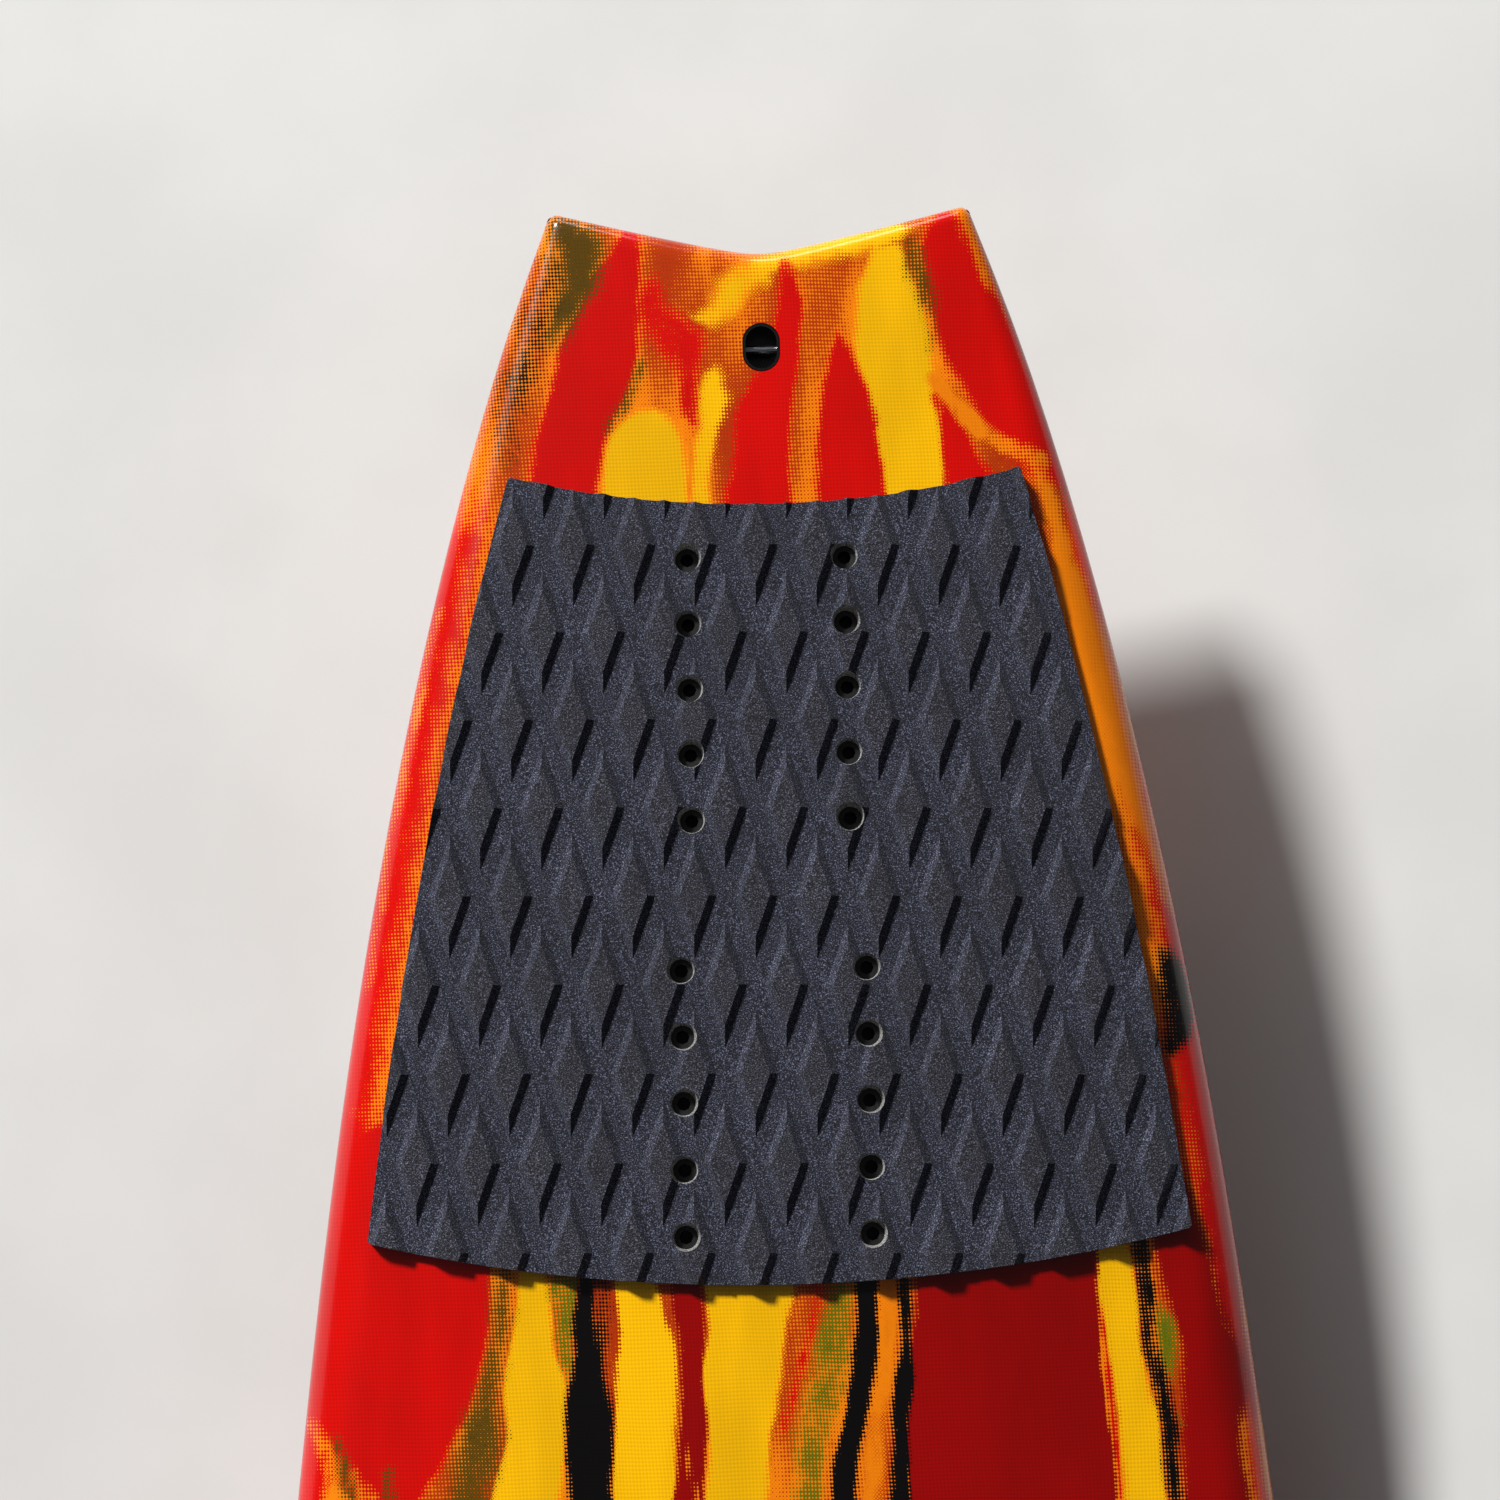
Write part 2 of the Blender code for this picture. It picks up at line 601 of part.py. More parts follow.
def build_fin(label, bottom, pockets):
    side, frame = fin_place(label)
    box = add_object("fin_box_" + label, prism(stadium(BOX_WIDTH, BOX_LENGTH, 8), 0, BOX_DEPTH),
                     "black_plastic", frame)
    slots = [prism(rectangle(TAB_THICK + 2 * GAP, TAB_LENGTH + 2 * GAP, (0, y)), -3 * MM, TAB_DEPTH + GAP)
             for y in (-TAB_AT, TAB_AT)]
    boolean(box, add_object(box.name + "_slots", merged(slots), None, frame))
    for y, end in ((-TAB_AT, "front"), (TAB_AT, "back")):
        seat = screw_frame(frame, side, y)
        cutter = prism(circle(SCREW_HOLE_R, 14), -4 * MM, SCREW_TIP + 0.4 * MM)
        boolean(box, add_object(f"{box.name}_{end}_hole", cutter, None, seat))
        screw = prism(circle(SCREW_R, 12), 0, SCREW_LENGTH)
        at = seat @ Matrix.Translation((0, 0, SCREW_TIP - SCREW_LENGTH))
        grub = add_object(f"fin_screw_{label}_{end}", screw, "steel", at, True)
        socket = prism(circle(SOCKET_R, 6), -1 * MM, SOCKET_DEPTH)
        boolean(grub, add_object(grub.name + "_socket", socket, None, at))
    opening = prism(stadium(BOX_WIDTH + 2 * GAP, BOX_LENGTH + 2 * GAP, 8), -8 * MM, BOX_DEPTH + GAP)
    pockets.append(add_object(box.name + "_opening", opening, None, frame))
    boolean(bottom, pockets[-1])

    lean = Matrix.Shear("XY", 4, (-side * math.tan(math.radians(FIN_CANT)), 0))
    fin = add_object("fin_" + label, placed(fin_blade(side), lean), "fin_glass", frame, True)
    tabs = merged([fin_tab(-TAB_AT), fin_tab(TAB_AT)])
    boolean(fin, add_object(fin.name + "_tabs", tabs, None, frame), "UNION")


# ---------------------------------------------------------------- air vent

def build_vent(deck, pockets):
    """A threaded bush in the deck, closed by a screw that presses on a rubber ring."""
    frame = surface_frame(deck_height, *VENT_AT)
    sink = 1.6 * MM
    head_top = -0.4 * MM
    seat = head_top - VENT_HEAD - 2 * SEAL_R - 0.2 * MM
    bore = VENT_SHANK_R + 0.3 * MM
    well = VENT_HEAD_R + 0.5 * MM
    housing = [(bore, -VENT_DEPTH), (VENT_BODY_R, -VENT_DEPTH), (VENT_BODY_R, -sink - VENT_FLANGE),
               (VENT_R + 1.2 * MM, -sink - VENT_FLANGE), (VENT_R + 1.2 * MM, -sink - 0.6 * MM),
               (VENT_R, -sink - 0.6 * MM), (VENT_R, 0), (well, 0), (well, seat), (bore, seat)]
    add_object("vent_housing", turned(housing, 20), "black_plastic", frame, True)
    under = head_top - VENT_HEAD
    screw = [(0, head_top), (VENT_HEAD_R, head_top), (VENT_HEAD_R, under), (VENT_SHANK_R, under),
             (VENT_SHANK_R, under - VENT_SHANK), (0, under - VENT_SHANK)]
    made = add_object("vent_screw", turned(screw, 20), "steel", frame, True)
    slot = prism(rectangle(1.3 * MM, 3 * VENT_HEAD_R), head_top - 1.2 * MM, 2 * MM)
    boolean(made, add_object("vent_screw_slot", slot, None, frame))
    middle = seat + SEAL_R + 0.1 * MM
    ring = [(SEAL_RING_R + SEAL_R * math.cos(a), middle + SEAL_R * math.sin(a))
            for a in (2 * math.pi * i / 6 for i in range(6))]
    add_object("vent_seal", turned(ring, 16), "rubber", frame, True)
    opening = prism(circle(VENT_R + GAP, 20), -sink - 1 * MM, 6 * MM)
    boolean(deck, add_object("vent_opening", opening, None, frame))
    pocket = prism(circle(VENT_R + 1.2 * MM + GAP, 20), -VENT_DEPTH - GAP, 6 * MM)
    pockets.append(add_object("vent_pocket", pocket, None, frame))


# ---------------------------------------------------------------- core

def build_core(pockets):
    """Two foam halves glued to a wooden stringer, with a pocket for each fitting."""
    reach, tall = 0.30, 0.25
    slabs = {
        "foam_core_left": (-reach, -STRINGER / 2 - GAP, "foam"),
        "foam_core_right": (STRINGER / 2 + GAP, reach, "foam"),
        "stringer": (-STRINGER / 2, STRINGER / 2, "wood"),
    }
    for name, (low, high, kind) in slabs.items():
        part = add_object(name, core_volume(), kind)
        slab = prism(rectangle(high - low, 2 * LENGTH, ((low + high) / 2, 0)), -tall, tall)
        boolean(part, add_object(name + "_slab", slab), "INTERSECT")
        for pocket in pockets:
            boolean(part, pocket)


def world_points(prefix):
    """Each vertex of the objects so named, in world space."""
    return np.array([obj.matrix_world @ vert.co for obj in bpy.data.objects
                     if obj.name.startswith(prefix) and not obj.hide_render for vert in obj.data.vertices])


def stand_on_floor():
    """Turns and moves everything, by an empty, so that the side fins' tips and the belly stand at height 0,
    with the middle of the whole over the origin."""
    bpy.context.view_layer.update()
    fins, belly = world_points("fin_"), world_points("bottom_laminate")
    low, high = 0.0, math.radians(20)
    for _ in range(40):
        pitch = (low + high) / 2
        up = (0, math.sin(pitch), math.cos(pitch))
        over, under = (belly @ up).min(), (fins @ up).min()
        low, high = (pitch, high) if under < over else (low, pitch)
    ahead = world_points("") @ (0, math.cos(pitch), -math.sin(pitch))
    attitude = bpy.data.objects.new("attitude", None)
    bpy.context.scene.collection.objects.link(attitude)
    attitude.rotation_euler.x = pitch
    attitude.location = (0, -(ahead.min() + ahead.max()) / 2, -min(over, under))
    bpy.context.view_layer.update()
    for obj in list(bpy.data.objects):
        if obj is not attitude:
            obj.parent = attitude


def main():
    clear_scene()
    pockets = []
    deck = add_object("deck_laminate", shell_of(deck_height, GAP / 2), "resin_glass", None, True)
    bottom = add_object("bottom_laminate", shell_of(bottom_height, -GAP / 2), "resin_glass", None, True)
    boolean(deck, hole_cutter("deck_insert_holes", insert_holes(INSERT_ROWS), BOSS_R + GAP, 3 * MM, 4 * MM))
    build_pads()
    for row in INSERT_ROWS:
        for side, label in ((-1, "left"), (1, "right")):
            build_strip(row, side, label)
    build_blocks(pockets)
    build_leash_plug(deck, pockets)
    for label in FIN_PLACES:
        build_fin(label, bottom, pockets)
    build_vent(deck, pockets)
    build_core(pockets)
    stand_on_floor()


main()
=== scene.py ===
"""The kiteboard's looks: skins with the tinted resin art, grooved pads, fins, light and camera."""

import math

import bmesh
import bpy
import numpy as np
from mathutils import Matrix, Vector


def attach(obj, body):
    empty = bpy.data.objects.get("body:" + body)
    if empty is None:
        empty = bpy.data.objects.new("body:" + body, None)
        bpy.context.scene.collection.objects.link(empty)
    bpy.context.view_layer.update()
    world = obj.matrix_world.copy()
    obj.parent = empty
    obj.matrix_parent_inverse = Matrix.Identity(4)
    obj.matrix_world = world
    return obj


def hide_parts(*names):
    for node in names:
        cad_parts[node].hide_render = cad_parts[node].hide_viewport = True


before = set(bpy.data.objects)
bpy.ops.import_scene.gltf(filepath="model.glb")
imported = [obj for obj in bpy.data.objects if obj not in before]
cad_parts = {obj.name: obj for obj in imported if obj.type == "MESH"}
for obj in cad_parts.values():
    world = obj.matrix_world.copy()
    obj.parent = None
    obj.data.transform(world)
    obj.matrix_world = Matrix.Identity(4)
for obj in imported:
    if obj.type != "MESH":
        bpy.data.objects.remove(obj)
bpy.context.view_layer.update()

MM = 0.001
GAP = 0.3 * MM

# The attitude in which the board stands on its side fins and belly
PITCH = math.radians(6.463817)
STAND_AT = (0.0, 0.009494, 0.025691)
BOARD = Matrix.Translation(STAND_AT) @ Matrix.Rotation(PITCH, 4, "X")

# ---------------------------------------------------------------- the board's shape, as in the CAD

LENGTH = 1.686
HALF_WIDTHS = [
    (0, 0), (0.040, 0.057), (0.110, 0.0955), (0.200, 0.1275), (0.305, 0.1555), (0.440, 0.182),
    (0.580, 0.1995), (0.720, 0.2085), (0.860, 0.2095), (1.030, 0.2005), (1.193, 0.1846),
    (1.330, 0.1675), (1.480, 0.1405), (1.595, 0.1117), (1.645, 0.0958), (1.686, 0.0806),
]
NOTCH_DEPTH, NOTCH_ROUNDING, TIP_RADIUS, NOTCH_REACH = 0.0192, 0.10, 0.0035, 0.150
THICKNESS = [(0, 0.013), (0.06, 0.020), (0.15, 0.029), (0.30, 0.039), (0.50, 0.0465), (0.85, 0.051),
             (1.20, 0.046), (1.40, 0.037), (1.56, 0.026), (1.68, 0.015)]
APEX_SHARE = [(0, 0.35), (0.4, 0.38), (0.9, 0.42), (1.68, 0.50)]
DECK_CROWN = [(0, 0.0025), (0.3, 0.008), (0.85, 0.013), (1.4, 0.009), (1.68, 0.004)]
BOTTOM_CONCAVE = [(0, 0), (0.15, 0.002), (0.6, 0.003), (1.1, 0.001), (1.4, 0), (1.68, 0)]
DECK_RAIL_RADIUS = [(0, 0.005), (0.025, 0.008), (0.1, 0.013), (0.4, 0.021), (0.9, 0.026), (1.5, 0.018),
                    (1.68, 0.010)]
BOTTOM_RAIL_RADIUS = [(0, 0.003), (0.1, 0.005), (0.4, 0.009), (0.9, 0.014), (1.5, 0.012), (1.68, 0.008)]
TAIL_ROCKER, NOSE_ROCKER, FLAT_POINT = 0.045, 0.105, 0.84
SKIN = 1.2 * MM

PAD_THICKNESS = 7.5 * MM
PAD_HOLE_R = 5.5 * MM
REAR_PAD = {"tail": 0.1179, "tail_sag": -0.0130, "nose": 0.4135, "nose_sag": -0.0185, "inset": 0.0180}
FRONT_PAD = {"tail": 0.646, "tail_sag": 0.0160, "nose": 0.966, "nose_sag": -0.0300, "inset": 0.0480}
PAD_SPLIT = 4 * MM
HOLE_PITCH = 0.025
INSERT_ROWS = {"rear_aft": (0.1384, 0.030, 5), "rear_fore": (0.2951, 0.035, 5),
               "front_aft": (0.721, 0.035, 2), "front_fore": (0.881, 0.035, 2)}

LEASH_AT, LEASH_OPENING = 0.0560, (0.0138, 0.0184)
VENT_AT, VENT_R = (0.017, 1.230), 8.0 * MM
FIN_PLACES = {"centre": (0.140, None, 0.0), "left": (0.330, 0.036, 3.0), "right": (0.330, 0.036, 3.0)}
BOX_LENGTH, BOX_WIDTH = 0.118, 0.026
FIN_DEPTH, FIN_BASE, FIN_THICK, FIN_CANT = 0.115, 0.112, 6.5 * MM, 6.0
TAB_AT, TAB_LENGTH, TAB_THICK, TAB_DEPTH = 0.028, 0.024, 5.6 * MM, 11.5 * MM


def natural_spline(points):
    """A function through (x, value) points, as smooth as a bent batten."""
    x, v = np.array(points, float).T
    step, count = np.diff(x), len(x)
    matrix, right = np.eye(count), np.zeros(count)
    for i in range(1, count - 1):
        matrix[i, i - 1:i + 2] = step[i - 1], 2 * (step[i - 1] + step[i]), step[i]
        right[i] = 6 * ((v[i + 1] - v[i]) / step[i] - (v[i] - v[i - 1]) / step[i - 1])
    bend = np.linalg.solve(matrix, right)

    def at(q):
        q = np.clip(np.asarray(q, float), x[0], x[-1])
        i = np.clip(np.searchsorted(x, q) - 1, 0, count - 2)
        before, after = (x[i + 1] - q) / step[i], (q - x[i]) / step[i]
        return (before * v[i] + after * v[i + 1]
                + ((before**3 - before) * bend[i] + (after**3 - after) * bend[i + 1]) * step[i]**2 / 6)

    return at


half_width_at = natural_spline([(math.sqrt(n), w) for n, w in HALF_WIDTHS])
thickness_at = natural_spline(THICKNESS)
apex_share_at = natural_spline(APEX_SHARE)
deck_crown_at = natural_spline(DECK_CROWN)
concave_at = natural_spline(BOTTOM_CONCAVE)
deck_rail_at = natural_spline(DECK_RAIL_RADIUS)
bottom_rail_at = natural_spline(BOTTOM_RAIL_RADIUS)


def half_width(d):
    return half_width_at(np.sqrt(np.clip(LENGTH - d, 0, None)))


def rocker(d):
    tail = TAIL_ROCKER * np.clip(1 - d / FLAT_POINT, 0, None)**2.2
    nose = NOSE_ROCKER * np.clip((d - FLAT_POINT) / (LENGTH - FLAT_POINT), 0, None)**2.3
    return tail + nose


def tail_edge(u):
    vee = NOTCH_DEPTH * (math.hypot(1, NOTCH_ROUNDING) - np.hypot(u, NOTCH_ROUNDING))
    corner = TIP_RADIUS / HALF_WIDTHS[-1][1]
    into_corner = np.clip((np.abs(u) - 1 + corner) / corner, 0, 1)
    return vee + TIP_RADIUS * (1 - np.sqrt(1 - into_corner**2))


def outline_points():
    u = np.linspace(-1, 1, 121)
    d = tail_edge(u)
    tail = np.stack([u * half_width(d), d], 1)
    d = LENGTH - (LENGTH - TIP_RADIUS) * np.linspace(1, 0, 160)**2
    side = np.stack([half_width(d), d], 1)
    return np.concatenate([tail, side[1:], side[-2:0:-1] * [-1, 1]])


OUTLINE = outline_points()


def edge_distance(x, d):
    start = OUTLINE
    along = np.roll(OUTLINE, -1, 0) - start
    flat = np.stack([np.ravel(x), np.ravel(d)], 1)
    out = np.empty(len(flat))
    for i in range(0, len(flat), 4096):
        to = flat[i:i + 4096, None] - start
        t = np.clip((to * along).sum(2) / (along**2).sum(1), 0, 1)
        out[i:i + 4096] = np.linalg.norm(to - t[..., None] * along, axis=2).min(1)
    return out.reshape(np.shape(x))


def rounding(e, radius):
    return np.sqrt(1 - (1 - np.clip(e / radius, 0, 1))**2)


def apex_height(d):
    return rocker(d) + apex_share_at(d) * thickness_at(d)


def deck_height(x, d, inset=0.0, e=None):
    e = edge_distance(x, d) - inset if e is None else e
    share = np.clip(np.abs(x) / np.maximum(half_width(d), 1e-4), 0, 1)
    full = rocker(d) + thickness_at(d) - deck_crown_at(d) * share**2.2 - inset
    return apex_height(d) + (full - apex_height(d)) * rounding(e, deck_rail_at(d) - inset)


def bottom_height(x, d, inset=0.0, e=None):
    e = edge_distance(x, d) - inset if e is None else e
    share = np.clip(np.abs(x) / np.maximum(half_width(d), 1e-4), 0, 1)
    full = rocker(d) + concave_at(d) * (1 - share**2) + inset
    return apex_height(d) - (apex_height(d) - full) * rounding(e, bottom_rail_at(d) - inset)


def board_y(d):
    return LENGTH / 2 - d


def surface_frame(height, x, d):
    """A matrix on the deck or bottom, Z along its normal and Y to the tail, in the board's own frame."""
    step = 2 * MM
    slope_x = float(height(x + step, d) - height(x - step, d)) / (2 * step)
    slope_y = float(height(x, d - step) - height(x, d + step)) / (2 * step)
    normal = Vector((-slope_x, -slope_y, 1)).normalized()
    across = Vector((1, 0, slope_x)).normalized()
    turn = Matrix((across, normal.cross(across), normal)).transposed().to_4x4()
    return Matrix.Translation((x, board_y(d), float(height(x, d)))) @ turn


# ---------------------------------------------------------------- mesh helpers

def mesh_object(name, verts, faces):
    mesh = bpy.data.meshes.new(name)
    mesh.from_pydata([tuple(v) for v in verts], [], faces)
    mesh.validate()
    obj = bpy.data.objects.new(name, mesh)
    bpy.context.scene.collection.objects.link(obj)
    return obj


def smooth(obj, angle):
    """Smooth shading, with edges sharper than the angle in degrees kept crisp."""
    obj.data.shade_smooth()
    obj.data.set_sharp_from_angle(angle=math.radians(angle))


def wear(obj, *names):
    """Gives the object these materials and no others."""
    obj.data.materials.clear()
    for name in names:
        obj.data.materials.append(material(name))


def clean(obj, merge_distance):
    """Merges doubled points, drops slivers and turns every face outward."""
    bm = bmesh.new()
    bm.from_mesh(obj.data)
    bmesh.ops.remove_doubles(bm, verts=bm.verts, dist=merge_distance)
    bmesh.ops.dissolve_degenerate(bm, edges=bm.edges, dist=1e-6)
    bmesh.ops.recalc_face_normals(bm, faces=bm.faces)
    bm.to_mesh(obj.data)
    bm.free()


def circle(radius, count, x=0.0, y=0.0):
    angles = [2 * math.pi * i / count for i in range(count)]
    return [(x + radius * math.cos(a), y + radius * math.sin(a)) for a in angles]


def stadium(width, length, count=24):
    radius, straight = width / 2, (length - width) / 2
    half = [math.pi * i / count for i in range(count + 1)]
    top = [(radius * math.cos(a), straight + radius * math.sin(a)) for a in half]
    return top + [(-x, -y) for x, y in top]


def prism(outline, low, high, matrix=Matrix()):
    """(verts, faces) of an upright prism."""
    n = len(outline)
    verts = [matrix @ Vector((x, y, z)) for z in (low, high) for x, y in outline]
    faces = [tuple(range(n))[::-1], tuple(range(n, 2 * n))]
    faces += [(i, (i + 1) % n, n + (i + 1) % n, n + i) for i in range(n)]
    return verts, faces


def joined(shapes):
    verts, faces = [], []
    for more, sides in shapes:
        faces += [tuple(i + len(verts) for i in f) for f in sides]
        verts += more
    return verts, faces


def cut(obj, shape, operation="DIFFERENCE", solver="MANIFOLD"):
    """Applies a Boolean with a closed shape to the object's mesh."""
    cutter = mesh_object("cutter", *shape)
    modifier = obj.modifiers.new("cut", "BOOLEAN")
    modifier.solver, modifier.operation, modifier.object = solver, operation, cutter
    done = obj.evaluated_get(bpy.context.evaluated_depsgraph_get())
    mesh = bpy.data.meshes.new_from_object(done)
    obj.modifiers.clear()
    obj.data = mesh
    bpy.data.objects.remove(cutter)


def into_place(obj):
    """Turns a mesh made in the board's own frame into the row's frame."""
    obj.data.transform(BOARD)
    obj.data.update()


# ---------------------------------------------------------------- the resin art

